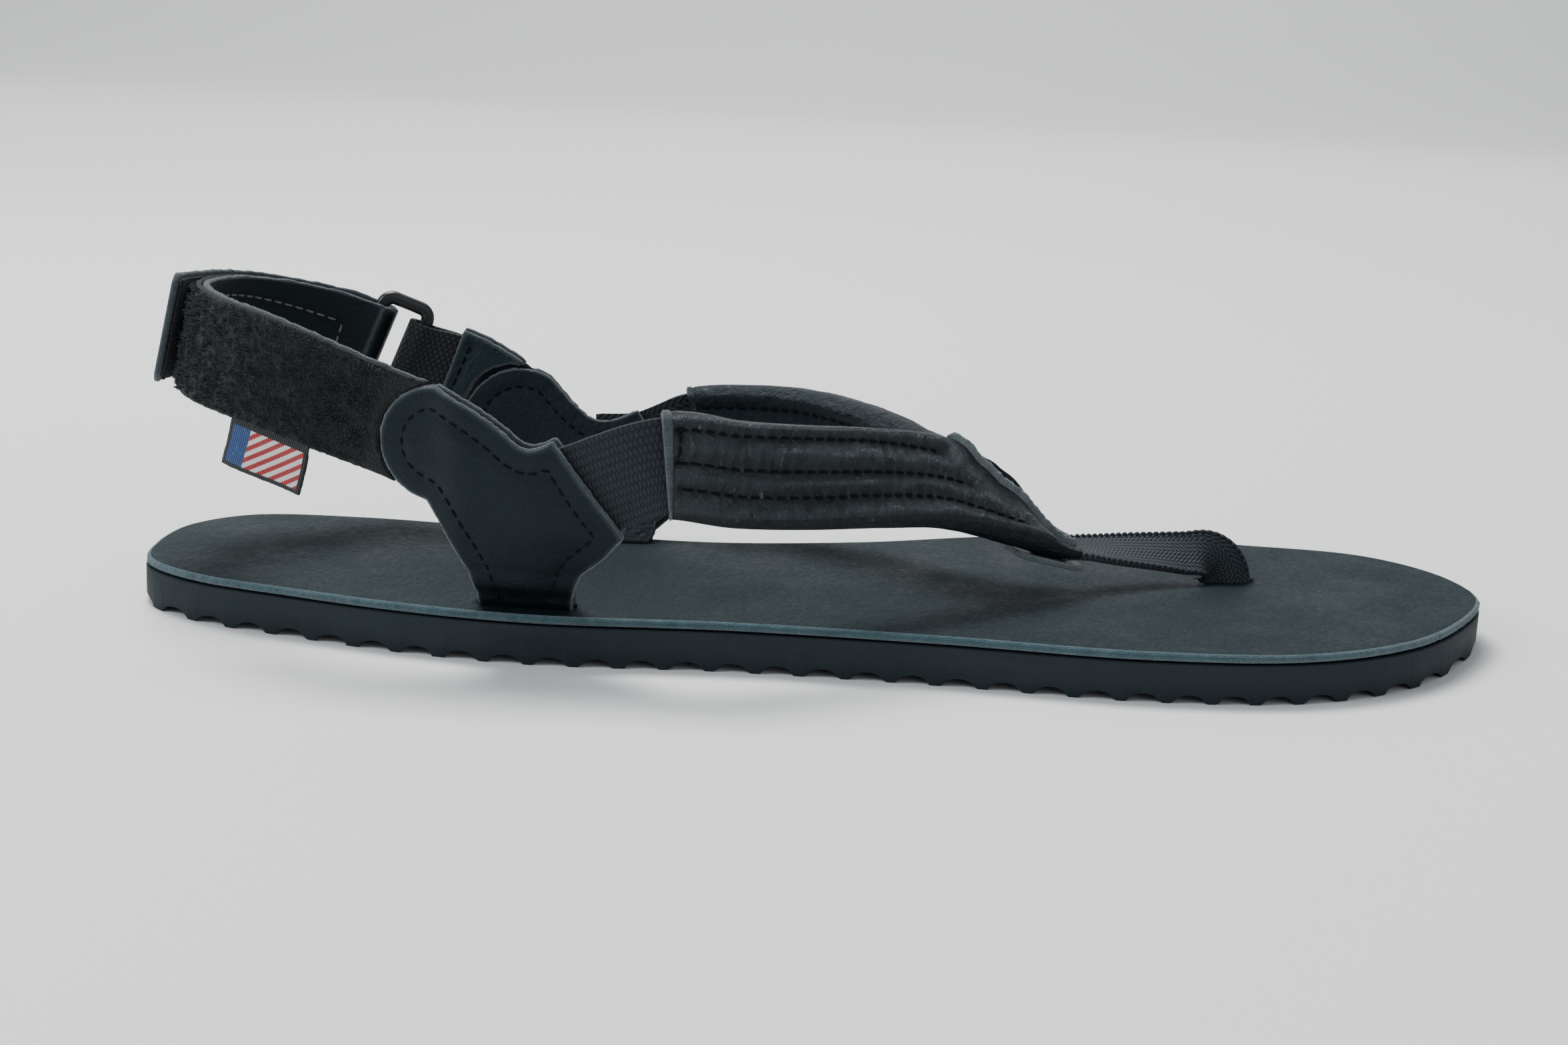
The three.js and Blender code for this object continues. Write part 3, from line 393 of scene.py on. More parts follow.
def grained_leather(name, dark, light, grain=0.9, depth=0.12, roughness=0.5, creases=0.25,
                    worn=(0.10, 0.10, 0.10), wear_width=0.7, crease_run=(1, 1, 1), shine=0.32):
    """Dyed leather: pebbled grain, fine creases, patchy dye and edges rubbed pale."""
    leather = new_finish(name, dark, roughness, Specular_IOR_Level=shine,
                         Specular_Tint=(0.62, 0.86, 1.0, 1))
    pebbles = pebbled_pattern(leather, grain, "SMOOTH_F1")
    patches = grown_pattern(leather, 14, 5)
    lines = grown_pattern(leather, 3.2, 6, crease_run, 0.7)
    pores = grown_pattern(leather, 0.35, 2)
    edge = worked(leather, "ShaderNodeAttribute", attribute_name="from_edge").outputs["Fac"]
    rubbed = between(leather, edge, 1.0, 0.0, 0.0, wear_width)
    rubbed = sum_of(leather, rubbed, between(leather, lines, 0.2, 1.2, 0.3, 0.7), "MULTIPLY")
    shade = tint(leather, rubbed, tint(leather, patches, dark, light), worn)
    relief = sum_of(leather, between(leather, pebbles, 0.0, 1.0, 0.0, 0.8),
                    between(leather, lines, 0.0, creases * 4, 0.35, 0.65))
    relief = sum_of(leather, relief, between(leather, pores, 0.0, 0.35))
    sheen = sum_of(leather, between(leather, patches, roughness - 0.08, roughness + 0.12, 0.3, 0.7),
                   between(leather, pebbles, 0.08, -0.06, 0.0, 0.7))
    return dress(leather, shade, sheen, relief, depth)


def napped_suede(name, dark, light, fibre=0.35, depth=0.35):
    """Raw leather fibres, as on a cut edge or a flesh side."""
    suede = new_finish(name, dark, 0.95, Sheen_Weight=0.35, Sheen_Roughness=0.5,
                       Specular_IOR_Level=0.2)
    tufts = grown_pattern(suede, fibre, 3, (1, 1, 2))
    clumps = grown_pattern(suede, 2.4, 4)
    mixed = sum_of(suede, between(suede, tufts, 0, 0.6, 0.3, 0.7),
                   between(suede, clumps, 0, 0.4, 0.3, 0.7))
    return dress(suede, tint(suede, mixed, dark, light), None, mixed, depth)


bed_leather = grained_leather(
    "bed_leather", (0.0035, 0.0075, 0.009), (0.008, 0.0155, 0.018), grain=1.1, depth=0.10,
    roughness=0.62, creases=0.6, worn=(0.05, 0.065, 0.075), crease_run=(1.6, 0.6, 1),
    shine=0.2,
)
bed_edge = napped_suede("bed_edge", (0.012, 0.04, 0.052), (0.05, 0.12, 0.14))
footbed = cut_layer(
    "leather_footbed", sole_outline - 0.15 * outward_of(sole_outline), (2.5, 2.5), flat_place,
    BED_LOW, pressed_bed, bed_leather, bed_edge, soften=0.75, fray=0.35,
)


def slot_cutter(place, size, turn):
    """A block of this size, turned about its upright axis, to cut a slot with."""
    corners = [(x, y, z) for x in (-0.5, 0.5) for y in (-0.5, 0.5) for z in (-0.5, 0.5)]
    box = bpy.data.meshes.new("slot_cutter")
    box.from_pydata(
        [Vector(c) for c in corners], [],
        [(0, 1, 3, 2), (4, 6, 7, 5), (0, 4, 5, 1), (2, 3, 7, 6), (0, 2, 6, 4), (1, 5, 7, 3)],
    )
    tool = bpy.data.objects.new("slot_cutter", box)
    bpy.context.collection.objects.link(tool)
    tool.matrix_world = (
        Matrix.Translation(Vector(place) * MM)
        @ Matrix.Rotation(turn, 4, "Z") @ Matrix.Diagonal((*[s * MM for s in size], 1))
    )
    return tool


def cut_slots(piece, tools):
    """Cuts the slots into a piece for good, and takes the tools away."""
    for tool in tools:
        step = piece.modifiers.new("slot", "BOOLEAN")
        step.object, step.solver = tool, "EXACT"
    bpy.context.view_layer.update()
    seen = piece.evaluated_get(bpy.context.evaluated_depsgraph_get())
    piece.data = bpy.data.meshes.new_from_object(seen)
    piece.modifiers.clear()
    for tool in tools:
        bpy.data.objects.remove(tool)


TOE_SLOT_LENGTH, SEAT_SLOT_LENGTH, SLOT_WIDTH, CUT_DEPTH = 11.8, 18.8, 3.0, 8
SLOTS = [
    (TOE_SLOT, TOE_SLOT_LENGTH, TOE_SLOT_TURN), ((-56.36, -35.93), SEAT_SLOT_LENGTH, 0.03),
    ((-46.96, 21.08), SEAT_SLOT_LENGTH, 0.0),
]
cut_slots(footbed, [
    slot_cutter((*(np.array(middle) + OFFSET[:2]), BED_TOP - 1), (length, SLOT_WIDTH, CUT_DEPTH),
                turn)
    for middle, length, turn in SLOTS
])
settle(footbed, "sole", "footbed_leather", "footbed")

# --- The wall that the wings and the heel strap follow ---
# Both are cut flat and take the shape of the heel when they are sewn: straight up at the back,
# leaning in above it, and tucked in towards the slots at the sides.

WALL_PLAN = [
    (-24, -45.6), (-45, -45), (-66, -43), (-88, -38.5), (-107, -31), (-120.5, -18), (-127, -1),
    (-121.5, 16), (-108, 26.5), (-90, 31.5), (-68, 33), (-46, 33), (-24, 34),
]
HEEL_LEAN, HEEL_LEAN_SPREAD = 0.2, 60
TUCK_HEIGHT, OUTER_TUCK, INNER_TUCK, TUCK_FADE = 36, 11, 15, 45

HEEL_MARK = 6  # which of the wall's marks is the middle of the heel


def run_along(line):
    """How far along a drawn line each of its points lies."""
    return np.concatenate([[0], np.cumsum(np.linalg.norm(np.diff(line, axis=0), axis=1))])


def unit(arrows):
    return arrows / np.linalg.norm(arrows, axis=-1, keepdims=True)


wall_line = drawn_curve(WALL_PLAN, np.linspace(0, 1, 4001))
wall_run = run_along(wall_line)
wall_aim = unit(np.gradient(wall_line, axis=0))


def run_to_mark(mark):
    """Distance along the wall at which it passes one of its marks."""
    return wall_run[np.argmin(np.linalg.norm(wall_line - WALL_PLAN[mark], axis=1))]


HEEL = run_to_mark(HEEL_MARK)


def eased(t):
    """Turns a share into one that starts and stops softly."""
    t = np.clip(t, 0, 1)
    return t * t * (3 - 2 * t)


def outer_at(x):
    """Distance along the wall at which its outer side reaches an x."""
    part = wall_run <= HEEL
    return np.interp(-np.asarray(x, float), -wall_line[part, 0], wall_run[part])


def inner_at(x):
    """Distance along the wall at which its inner side reaches an x."""
    part = wall_run >= HEEL
    return np.interp(x, wall_line[part, 0], wall_run[part])


def wall_surface(run, z):
    """The wall's inner face, by distance along it and height."""
    x = np.interp(run, wall_run, wall_line[:, 0])
    y = np.interp(run, wall_run, wall_line[:, 1])
    ax = np.interp(run, wall_run, wall_aim[:, 0])
    ay = np.interp(run, wall_run, wall_aim[:, 1])
    from_heel = np.abs(run - HEEL)
    lean = eased(1 - from_heel / HEEL_LEAN_SPREAD) * HEEL_LEAN * (z - BED_TOP - 44)
    low = np.maximum(0, BED_TOP + TUCK_HEIGHT - z) / TUCK_HEIGHT
    tuck = np.where(run < HEEL, OUTER_TUCK, INNER_TUCK)
    inward = lean + tuck * eased((from_heel - TUCK_FADE / 2) / TUCK_FADE) * low**2
    return np.stack([x + ay * inward, y - ax * inward, z + 0 * x], -1)


def on_wall(run, z, out):
    """A place this far out from the wall's inner face."""
    run, z, out = (np.asarray(v, float) for v in np.broadcast_arrays(run, z, out))
    along = wall_surface(run + 0.5, z) - wall_surface(run - 0.5, z)
    up = wall_surface(run, z + 0.5) - wall_surface(run, z - 0.5)
    return wall_surface(run, z) + unit(np.cross(up, along)) * out[..., None]


STRAP_CENTRE = np.array([
    (outer_at(-60), 27), (outer_at(-73), 31.8), (outer_at(-90), 37), (outer_at(-107), 41.6),
    (run_to_mark(HEEL_MARK - 1), 43.2), (HEEL, 43.4), (run_to_mark(HEEL_MARK + 1), 42.6),
    (inner_at(-107), 39), (inner_at(-97), 35.2), (inner_at(-90), 33), (inner_at(-80), 29.4),
    (inner_at(-70), 23.4), (inner_at(-58), 15.6),
], float)
strap_line = drawn_curve(STRAP_CENTRE, np.linspace(0, 1, 2001))


def strap_height(run):
    return np.interp(run, strap_line[:, 0], strap_line[:, 1]) + BED_TOP


def strap_slope(run):
    return (strap_height(run + 1) - strap_height(run - 1)) / 2


def on_strap(run, across, out):
    """A place on the heel strap, by distance along its centre line, across it and out of it."""
    slope = strap_slope(run)
    long = np.hypot(1, slope)
    return on_wall(run - across * slope / long, strap_height(run) + across / long, out)


# --- Wings ---
# Each wing is an outer leather and a lining, sewn face to face round a webbing end. Its tab stands
# in the footbed's slot, its round rear end carries the heel strap, and its front edge is left raw.

LEATHER, WEBBING, TAPE, GAP, PLY_GAP = 1.3, 1.2, 1.2, 0.3, 0.5
TAPE_NEAR = LEATHER + GAP
SANDWICH = LEATHER + 2 * PLY_GAP + WEBBING
STRAP_WIDTH, OUTER_END, ARM_WIDTH = 21.5, 19.5, 23.5
OUTER_HINGE, INNER_HINGE = float(outer_at(-72.5)), float(inner_at(-67))
OUTER_RADIUS, INNER_RADIUS = OUTER_END / 2 + 0.9, ARM_WIDTH / 2 + 0.9


def round_end(centre, radius, start, stop):
    """The arc of a wing's round end, about the joint that it shares with the strap."""
    angles = np.linspace(start, stop, 25)
    height = float(strap_height(centre))
    return [(centre + radius * math.cos(a), height + radius * math.sin(a)) for a in angles]


def smooth_run(points, count=24):
    return [tuple(p) for p in drawn_curve(points, np.linspace(0, 1, count), even=True)]


def outer_wing_pattern():
    at = lambda x, height: (float(outer_at(x)), BED_TOP + height)
    lean = math.atan(float(strap_slope(OUTER_HINGE)))
    arc = round_end(OUTER_HINGE, OUTER_RADIUS, lean - 1.7, lean + 1.25)
    top = smooth_run([arc[-1], at(-65, 38.6), at(-60, 35.4), at(-55.5, 32.4), at(-50.6, 34)])
    rear = smooth_run([at(-66.1, 0.3), at(-66.8, 5.5), at(-68.5, 10.5), arc[0]], 16)
    front = smooth_run([at(-37.6, 17.4), at(-41.4, 13), at(-45.6, 9.4), at(-47.6, 4.5),
                        at(-48, 0.3)], 20)
    return rear[:-1] + arc[:-1] + top[:-1] + [at(-50.6, 34)] + front


def inner_wing_pattern():
    at = lambda x, height: (float(inner_at(x)), BED_TOP + height)
    lean = math.atan(float(strap_slope(INNER_HINGE)))
    arc = round_end(INNER_HINGE, INNER_RADIUS, lean + math.pi + 1.7, lean + math.pi - 1.5)
    top = smooth_run([at(-56, 27.6), at(-51.4, 24.4), at(-47, 24.2), at(-41.5, 26.4)], 16)
    return ([at(-38, 0.3), at(-56, 0.3), at(-57.5, 4)] + arc + top[:-1]
            + [at(-41.5, 26.4), at(-30.5, 10.4), at(-33, 6.8), at(-36.6, 4)])


RISE_START, RISE_LENGTH = float(outer_at(-76)), 9


def outer_rise(run):
    """The outer leather steps up where the webbing end begins under it."""
    return (SANDWICH - TAPE_NEAR) * eased((RISE_START - run) / RISE_LENGTH)


def inset_row(outline, by, start, stop):
    """A sewing line inside a pattern's edge, between two of its corners."""
    loop = np.array(outline, float)
    turned = anticlockwise(loop)
    same = np.allclose(turned, loop)
    facing = outward_of(turned)
    if not same:
        facing = facing[::-1]
    inner = loop - by * facing
    keep = [inner[start]]
    for p in inner[start + 1:stop]:
        if edge_distance(p[None], np.vstack([loop, loop[:1]]))[0][0] > by - 0.35:
            if np.linalg.norm(p - keep[-1]) > 0.4:
                keep.append(p)
    return np.array(keep)


def sewn(level, rows, depth=0.35, width=0.9, pitch=2.5):
    """A level pressed in along sewing rows, deepest where each stitch ends."""
    def pressed(points):
        height = as_level(level, points)
        for row in rows:
            gap, along = edge_distance(points, row)
            pull = 0.8 + 0.2 * np.cos(2 * math.pi * along / pitch)
            height = height - depth * pull * np.exp(-((gap / width) ** 2))
        return height
    return pressed


def drawn_in(rows, depth, width):
    """The level of a lining's inner face, drawn in along its sewing rows."""
    return lambda points: depth * sum(
        np.exp(-((edge_distance(points, row)[0] / width) ** 2)) for row in rows)


def at_length(distance, reach, table):
    """Looks up a place or a direction at a distance along a drawn line."""
    return np.stack([np.interp(distance, reach, column) for column in table.T], -1)


def tube_faces(rings, sides, first=0, closed=False):
    """The faces of a tube, ring after ring, with its two ends unless it closes on itself."""
    faces = []
    for k in range(rings if closed else rings - 1):
        a, b = first + k * sides, first + (k + 1) % rings * sides
        faces += [[a + j, a + (j + 1) % sides, b + (j + 1) % sides, b + j] for j in range(sides)]
    if not closed:
        last = first + (rings - 1) * sides
        faces += [list(range(first, first + sides))[::-1], list(range(last, last + sides))]
    return faces


def sew(name, rows, place, out, thread, pitch=2.5, stitch=1.9, thick=0.42, inside=False):
    """Rows of stitches: each a short length of thread that dips into the leather at its ends."""
    ring = np.linspace(0, 2 * math.pi, 7)[:-1]
    spine = np.array([-1, -0.8, -0.45, 0, 0.45, 0.8, 1.0])
    girth = np.array([0.35, 0.8, 1, 1, 1, 0.8, 0.35])
    dip = -1.1 * np.abs(spine) ** 3
    corners, faces = [], []
    for row in rows:
        dense = []
        for a, b in zip(row[:-1], row[1:]):
            steps = max(2, int(np.linalg.norm(b - a) / 0.25))
            dense += [a + (b - a) * k / steps for k in range(steps)]
        dense = np.array(dense + [row[-1]])
        level = as_level(out, dense)
        spots = place(dense[:, 0], dense[:, 1], level)
        off = unit(place(dense[:, 0], dense[:, 1], level + (-1 if inside else 1)) - spots)
        reach = run_along(spots)
        for k in range(int(reach[-1] / pitch)):
            centre = (k + 0.5) * pitch
            here = at_length(centre, reach, spots)
            along = unit(at_length(centre + stitch / 2, reach, spots)
                         - at_length(centre - stitch / 2, reach, spots))
            up = at_length(centre, reach, off)
            up = unit(up - along * (up @ along))
            side = np.cross(up, along)
            faces += tube_faces(len(spine), len(ring), len(corners))
            for t, g, d in zip(spine, girth, dip):
                middle = here + along * t * stitch / 2 + up * (thick * (0.28 + 0.5 * d))
                for a in ring:
                    corners.append(
                        middle + (side * math.cos(a) * 1.15 + up * math.sin(a)) * thick / 2 * g
                    )
    marks = np.array([(c[0] + c[1], c[2]) for c in corners])
    return body_mesh(name, np.array(corners), faces, marks, [thread], [0] * len(faces))


def spun_thread(name, dark, light):
    thread = new_finish(name, dark, 0.75, Specular_IOR_Level=0.12)
    twist = grown_pattern(thread, 0.4, 1)
    return dress(thread, tint(thread, twist, dark, light), None, twist, 0.08)


black_thread = spun_thread("black_thread", (0.0015, 0.002, 0.0025), (0.005, 0.006, 0.007))
wing_leather = grained_leather(
    "wing_leather", (0.0028, 0.0042, 0.005), (0.007, 0.0095, 0.011), grain=0.7, depth=0.05,
    roughness=0.42, creases=0.5, worn=(0.045, 0.058, 0.062), wear_width=1.1, shine=0.22,
)
wing_lining = grained_leather(
    "wing_lining", (0.004, 0.0055, 0.0065), (0.010, 0.013, 0.015), grain=0.8, depth=0.10,
    roughness=0.6, creases=0.7, worn=(0.07, 0.075, 0.08),
)
raw_edge = napped_suede("raw_edge", (0.012, 0.022, 0.026), (0.075, 0.105, 0.115))


def wing_bulge(points):
    """The webbing end swells the outer leather where it is caught."""
    x = np.interp(points[:, 0], wall_run, wall_line[:, 0])
    z = points[:, 1] - BED_TOP
    return 1.33 * np.exp(-(((x + 52) / 6.5) ** 2) - ((z - 19) / 6) ** 2) + 0.35 * np.exp(
        -(((x + 58) / 5) ** 2) - ((z - 8) / 3.5) ** 2
    )


def tab_crease(points):
    """The fold where the tab turns into its slot."""
    z = points[:, 1] - BED_TOP
    return 0.55 * np.exp(-(((z - 4.6) / 0.8) ** 2)) + 0.3 * np.exp(-(((z - 9.4) / 1.1) ** 2))


outer_pattern = outer_wing_pattern()
outer_rows = [inset_row(outer_pattern, 4.2, 2, len(outer_pattern) - 4)]


def outer_face(points):
    """The level of the outer wing's face."""
    far = TAPE_NEAR + LEATHER + outer_rise(points[:, 0]) + wing_bulge(points) - tab_crease(points)
    return far + 0.18 * ripples(points, 5, 8, 2.0)


SUNK = 0.3  # how far a stitch's own line lies below the leather's face
sewn_face = sewn(outer_face, outer_rows)
lateral_wing = cut_layer(
    "lateral_wing_leather", outer_pattern, (0.9, 0.9), on_wall,
    lambda p: TAPE_NEAR + outer_rise(p[:, 0]), sewn_face, wing_leather, raw_edge, raw_edge,
    soften=0.45, fray=0.3,
)
settle(lateral_wing, "sole", "black_leather", "lateral_wing")
settle(sew("lateral_wing_stitches", outer_rows, on_wall, sewn_face, black_thread),
       "sole", "black_leather")

wing_backing = cut_layer(
    "lateral_wing_backing", outer_pattern, (1.6, 1.6), on_wall, 0.0, LEATHER, raw_edge, raw_edge,
    wing_lining, soften=0.45, fray=0.3,
)
settle(wing_backing, "sole", "lining_leather", "lateral_wing_lining")

inner_pattern = inner_wing_pattern()
inner_rows = [inset_row(inner_pattern, 4.0, 2, len(inner_pattern) - 3)]
medial_wing = cut_layer(
    "medial_wing_leather", inner_pattern, (1.2, 1.2), on_wall, SANDWICH,
    sewn(SANDWICH + LEATHER, inner_rows), wing_leather, raw_edge, raw_edge, soften=0.45, fray=0.3,
)
settle(medial_wing, "sole", "black_leather", "medial_wing")
medial_backing = cut_layer(
    "medial_wing_backing", inner_pattern, (1.0, 1.0), on_wall, drawn_in(inner_rows, 0.3, 0.9),
    LEATHER, raw_edge, raw_edge, wing_lining, soften=0.45, fray=0.3,
)
settle(medial_backing, "sole", "lining_leather", "medial_wing_lining")
settle(sew("medial_wing_stitches", inner_rows, on_wall, SANDWICH + LEATHER - SUNK, black_thread),
       "sole", "black_leather")
settle(sew("medial_wing_inside_stitches", inner_rows, on_wall, SUNK, black_thread, inside=True),
       "sole", "lining_leather")

# --- Anchors and toe stop ---
# The webbing ends that stand in the footbed's slots are glued down under the leather. A moulded
# plate under the toe slot keeps the toe webbing from pulling through.


def woven_cloth(name, dark, light, rib=1.5, pick=1.1, depth=0.18, zigzag=0.0, roughness=0.8,
                use_pattern=True):
    """Nylon webbing: ribs along it, picks across it that pass over and under by turns."""
    cloth = new_finish(name, dark, roughness, Sheen_Weight=0.08, Specular_IOR_Level=0.25)
    source = worked(cloth, "ShaderNodeTexCoord").outputs["UV" if use_pattern else "Object"]
    split = worked(cloth, "ShaderNodeSeparateXYZ", {"Vector": source})
    along, across = split.outputs["X"], split.outputs["Y" if use_pattern else "Z"]
    column = sum_of(cloth, across, 1 / (rib * MM), "MULTIPLY")
    swing = sum_of(cloth, worked(cloth, "ShaderNodeMath", {0: column}, operation="FLOOR")
                   .outputs[0], math.pi, "MULTIPLY")
    if zigzag:
        fold = worked(cloth, "ShaderNodeMath", {0: across, 1: zigzag * MM}, operation="PINGPONG")
        swing = sum_of(cloth, fold.outputs[0], 2 * math.pi / (pick * MM), "MULTIPLY")
    beat = sum_of(cloth, sum_of(cloth, along, 2 * math.pi / (pick * MM), "MULTIPLY"), swing)
    wave = worked(cloth, "ShaderNodeMath", {0: beat}, operation="SINE").outputs[0]
    crest = worked(
        cloth, "ShaderNodeMath", {0: sum_of(cloth, column, math.pi, "MULTIPLY")}, operation="SINE",
    ).outputs[0]
    crest = worked(cloth, "ShaderNodeMath", {0: crest}, operation="ABSOLUTE").outputs[0]
    hairs = grown_pattern(cloth, 0.3, 2)
    height = sum_of(cloth, between(cloth, wave, 0.0, 0.6, -1, 1), between(cloth, crest, 0, 0.4))
    shade = sum_of(cloth, height, between(cloth, hairs, -0.25, 0.25, 0.3, 0.7))
    return dress(cloth, tint(cloth, shade, dark, light), None,
                 sum_of(cloth, height, between(cloth, hairs, 0, 0.3)), depth)


def moulded_plastic(name, colour, roughness=0.32):
    plastic = new_finish(name, colour, roughness, Specular_IOR_Level=0.5)
    flow = grown_pattern(plastic, 0.8, 3)
    scuff = grown_pattern(plastic, 4, 5)
    shade = tint(plastic, scuff, colour, tuple(c * 2.2 + 0.004 for c in colour))
    return dress(plastic, shade, between(plastic, scuff, roughness - 0.06, roughness + 0.14), flow,
                 0.02)


anchor_cloth = woven_cloth("anchor_cloth", (0.004, 0.005, 0.006), (0.02, 0.024, 0.028),
                           use_pattern=False)
ring_plastic = moulded_plastic("ring_plastic", (0.004, 0.005, 0.006))
for node in ("lateral_anchor", "medial_anchor"):
    frame["nodes"][node].material_slots[0].material = anchor_cloth
frame["nodes"]["toe_stop"].material_slots[0].material = ring_plastic

# --- Heel strap ---
# A leather strap from the outer wing round the heel to the ring, with loop-pile tape sewn to its
# outside. Its upper and lower edges are raw leather, paler than the faces.

RING_LENGTH, RING_BAR, SIDE_ROOM, BAR_ROOM, HINGE_ROOM = 13, 2.8, 0.8, 1.0, 0.6
RING_MIDDLE = INNER_HINGE - ARM_WIDTH / 2 - 16.9
REAR_BAR = RING_MIDDLE - RING_LENGTH / 2 + RING_BAR / 2
FRONT_BAR = RING_MIDDLE + RING_LENGTH / 2 - RING_BAR / 2
TUCK, TONGUE_NEAR, TONGUE_FAR = 1.3, 2.05, 2.55
BAR_CENTRE = LEATHER + BAR_ROOM + RING_BAR / 2
TAIL_FOLD, TAIL_END = REAR_BAR - 4, HEEL - 4
TAIL_NEAR = 2 * BAR_CENTRE - LEATHER


def strap_half(run):
    """Half the strap's width: narrow at the outer wing, full by the back of the heel."""
    widening = eased((np.asarray(run) - OUTER_HINGE) / (float(outer_at(-112)) - OUTER_HINGE))
    return (OUTER_END + (STRAP_WIDTH - OUTER_END) * widening) / 2


def hollow_end(centre, radius, side, across):
    """The hollow cut of an end that fits round a wing, with room to turn."""
    reach = np.sqrt((radius + HINGE_ROOM) ** 2 - across**2)
    return centre + side * reach / math.hypot(1, float(strap_slope(centre)))


def strap_pattern(stop, spare=0.0):
    """The strap's outline from the outer wing to stop, cut smaller all round by spare."""
    half = float(strap_half(OUTER_HINGE + OUTER_RADIUS)) - spare
    across = np.linspace(half, -half, 17)
    hollow = np.stack([hollow_end(OUTER_HINGE, OUTER_RADIUS, 1, across), across], 1)
    runs = np.linspace(hollow[-1, 0], stop, 60)[1:]
    lower = np.stack([runs, spare - strap_half(runs)], 1)
    return np.vstack([hollow, lower, (lower * (1, -1))[::-1]])


strap_leather = grained_leather(
    "strap_leather", (0.0045, 0.0058, 0.0065), (0.011, 0.014, 0.015), grain=0.8, depth=0.09,
    roughness=0.5, creases=0.9, worn=(0.11, 0.12, 0.12), crease_run=(0.5, 0.5, 2.2),
)
pale_thread = spun_thread("pale_thread", (0.10, 0.085, 0.08), (0.26, 0.22, 0.21))
strap_outline = strap_pattern(REAR_BAR)
row_bends = [(OUTER_HINGE + 16, 2.5), (HEEL - 20, 6.6), (HEEL + 10, 6.9), (REAR_BAR - 6, 4.4)]
centre_row = [drawn_curve(row_bends, np.linspace(0, 1, 120)),
              np.array([(REAR_BAR - 6, y) for y in np.linspace(4.2, -8, 12)])]
strap = cut_layer(
    "heel_strap_leather", strap_outline, (1.4, 0.9), on_strap,
    lambda p: 0.16 * ripples(p, 2.3, 9, 5.0) + drawn_in(centre_row, 0.35, 0.9)(p),
    LEATHER, raw_edge, raw_edge, strap_leather, soften=0.4, fray=0.25,
)
settle(strap, "heel_strap", "lining_leather", "heel_strap_lining")
settle(sew("heel_strap_centre_stitches", centre_row, on_strap, 0.28, pale_thread, inside=True),
       "heel_strap", "lining_leather")

pile_cloth = new_finish("pile_cloth", (0.004, 0.0045, 0.006), 0.95, Sheen_Weight=0.15,
                        Sheen_Roughness=0.6, Specular_IOR_Level=0.1)
fluff = grown_pattern(pile_cloth, 0.45, 4)
dress(pile_cloth, tint(pile_cloth, fluff, (0.0015, 0.0025, 0.003), (0.008, 0.013, 0.015)), None,
      fluff, 0.5)
PILE_ROOT = TAPE_NEAR + TAPE - 0.25
loop_tape = cut_layer(
    "loop_tape_backing", strap_pattern(TAIL_FOLD - 1, 0.15), (0.9, 0.9), on_strap, TAPE_NEAR,
    lambda p: PILE_ROOT + 0.22 * ripples(p, 0.9, 0.9, 3.0), pile_cloth, soften=0.4, fray=0.2,
)
settle(loop_tape, "heel_strap", "loop_pile", "loop_tape")


def pile_loops(name, low, high, count, level, height, thread, seed):
    """Loops of yarn that stand up from a tape, each leaning its own way."""
    draw = np.random.default_rng(seed)
    runs = draw.uniform(low, high, count)
    across = draw.uniform(-0.97, 0.97, count) * (strap_half(runs) - 0.3)
    aim = draw.uniform(0, 2 * math.pi, count)
    clump = ripples(zip(runs, across), 3, 3, seed)
    tall = height * draw.uniform(0.6, 1.25, count) * (1 + 1.2 * clump)
    wide = draw.uniform(0.22, 0.42, count)
    arc, sides = np.linspace(0, math.pi, 6), 3
    yarn, rooted = 0.075, 0.12
    corners = []
    for a in arc:
        sideways, up = np.cos(a) * wide, np.sin(a) * tall
        for turn in np.arange(sides) * 2 * math.pi / sides:
            forward, aside = yarn * math.cos(turn), yarn * math.sin(turn)
            reach = sideways + forward * math.cos(a)
            x = runs + reach * np.cos(aim) - aside * np.sin(aim)
            y = across + reach * np.sin(aim) + aside * np.cos(aim)
            corners.append(np.stack([x, y, level - rooted + up + forward * math.sin(a)], 1))
    flat = np.stack(corners, 1).reshape(-1, 3)
    faces = [face for k in range(count)
             for face in tube_faces(len(arc), sides, k * len(arc) * sides)]
    return body_mesh(name, on_strap(*flat.T), faces, flat[:, :2], [thread], [0] * len(faces))


pile_yarn = new_finish("pile_yarn", (0.004, 0.007, 0.008), 0.85, Sheen_Weight=0.15,
                       Specular_IOR_Level=0.15)
yarn_shade = grown_pattern(pile_yarn, 1.2, 3)
dress(pile_yarn, tint(pile_yarn, yarn_shade, (0.002, 0.0035, 0.004), (0.013, 0.021, 0.024)), None,
      yarn_shade, 0.05)
pile_start, pressed_from = OUTER_HINGE + OUTER_RADIUS + 1.6, TAIL_END + 4
pile_stop = TAIL_FOLD - 1.5
for name, low, high, count, level, height, seed in (
    ("loop_pile_open", pile_start, pressed_from, 3000, PILE_ROOT + 0.05, 0.95, 11),
    ("loop_pile_pressed", pressed_from, pile_stop, 900, PILE_ROOT, 0.3, 12),
):
    settle(pile_loops(name, low, high, count, level, height, pile_yarn, seed),
           "heel_strap", "loop_pile")

# --- Ring and keeper ---
# A rectangular ring of moulded plastic joins the strap to the arm. A folded piece of webbing, the
# keeper, goes round its front bar and is caught between the arm's two leathers.


def squared(along, up):
    """Three directions square to each other: along, up and out."""
    along = unit(along)
    up = unit(up - along * (up @ along))
    return along, up, np.cross(up, along)


ring_base = on_strap(REAR_BAR, 0, 0)
ring_along, ring_up, ring_out = squared(
    on_strap(REAR_BAR + 1, 0, 0) - on_strap(REAR_BAR - 1, 0, 0),
    on_strap(REAR_BAR, 1, 0) - on_strap(REAR_BAR, -1, 0),
)


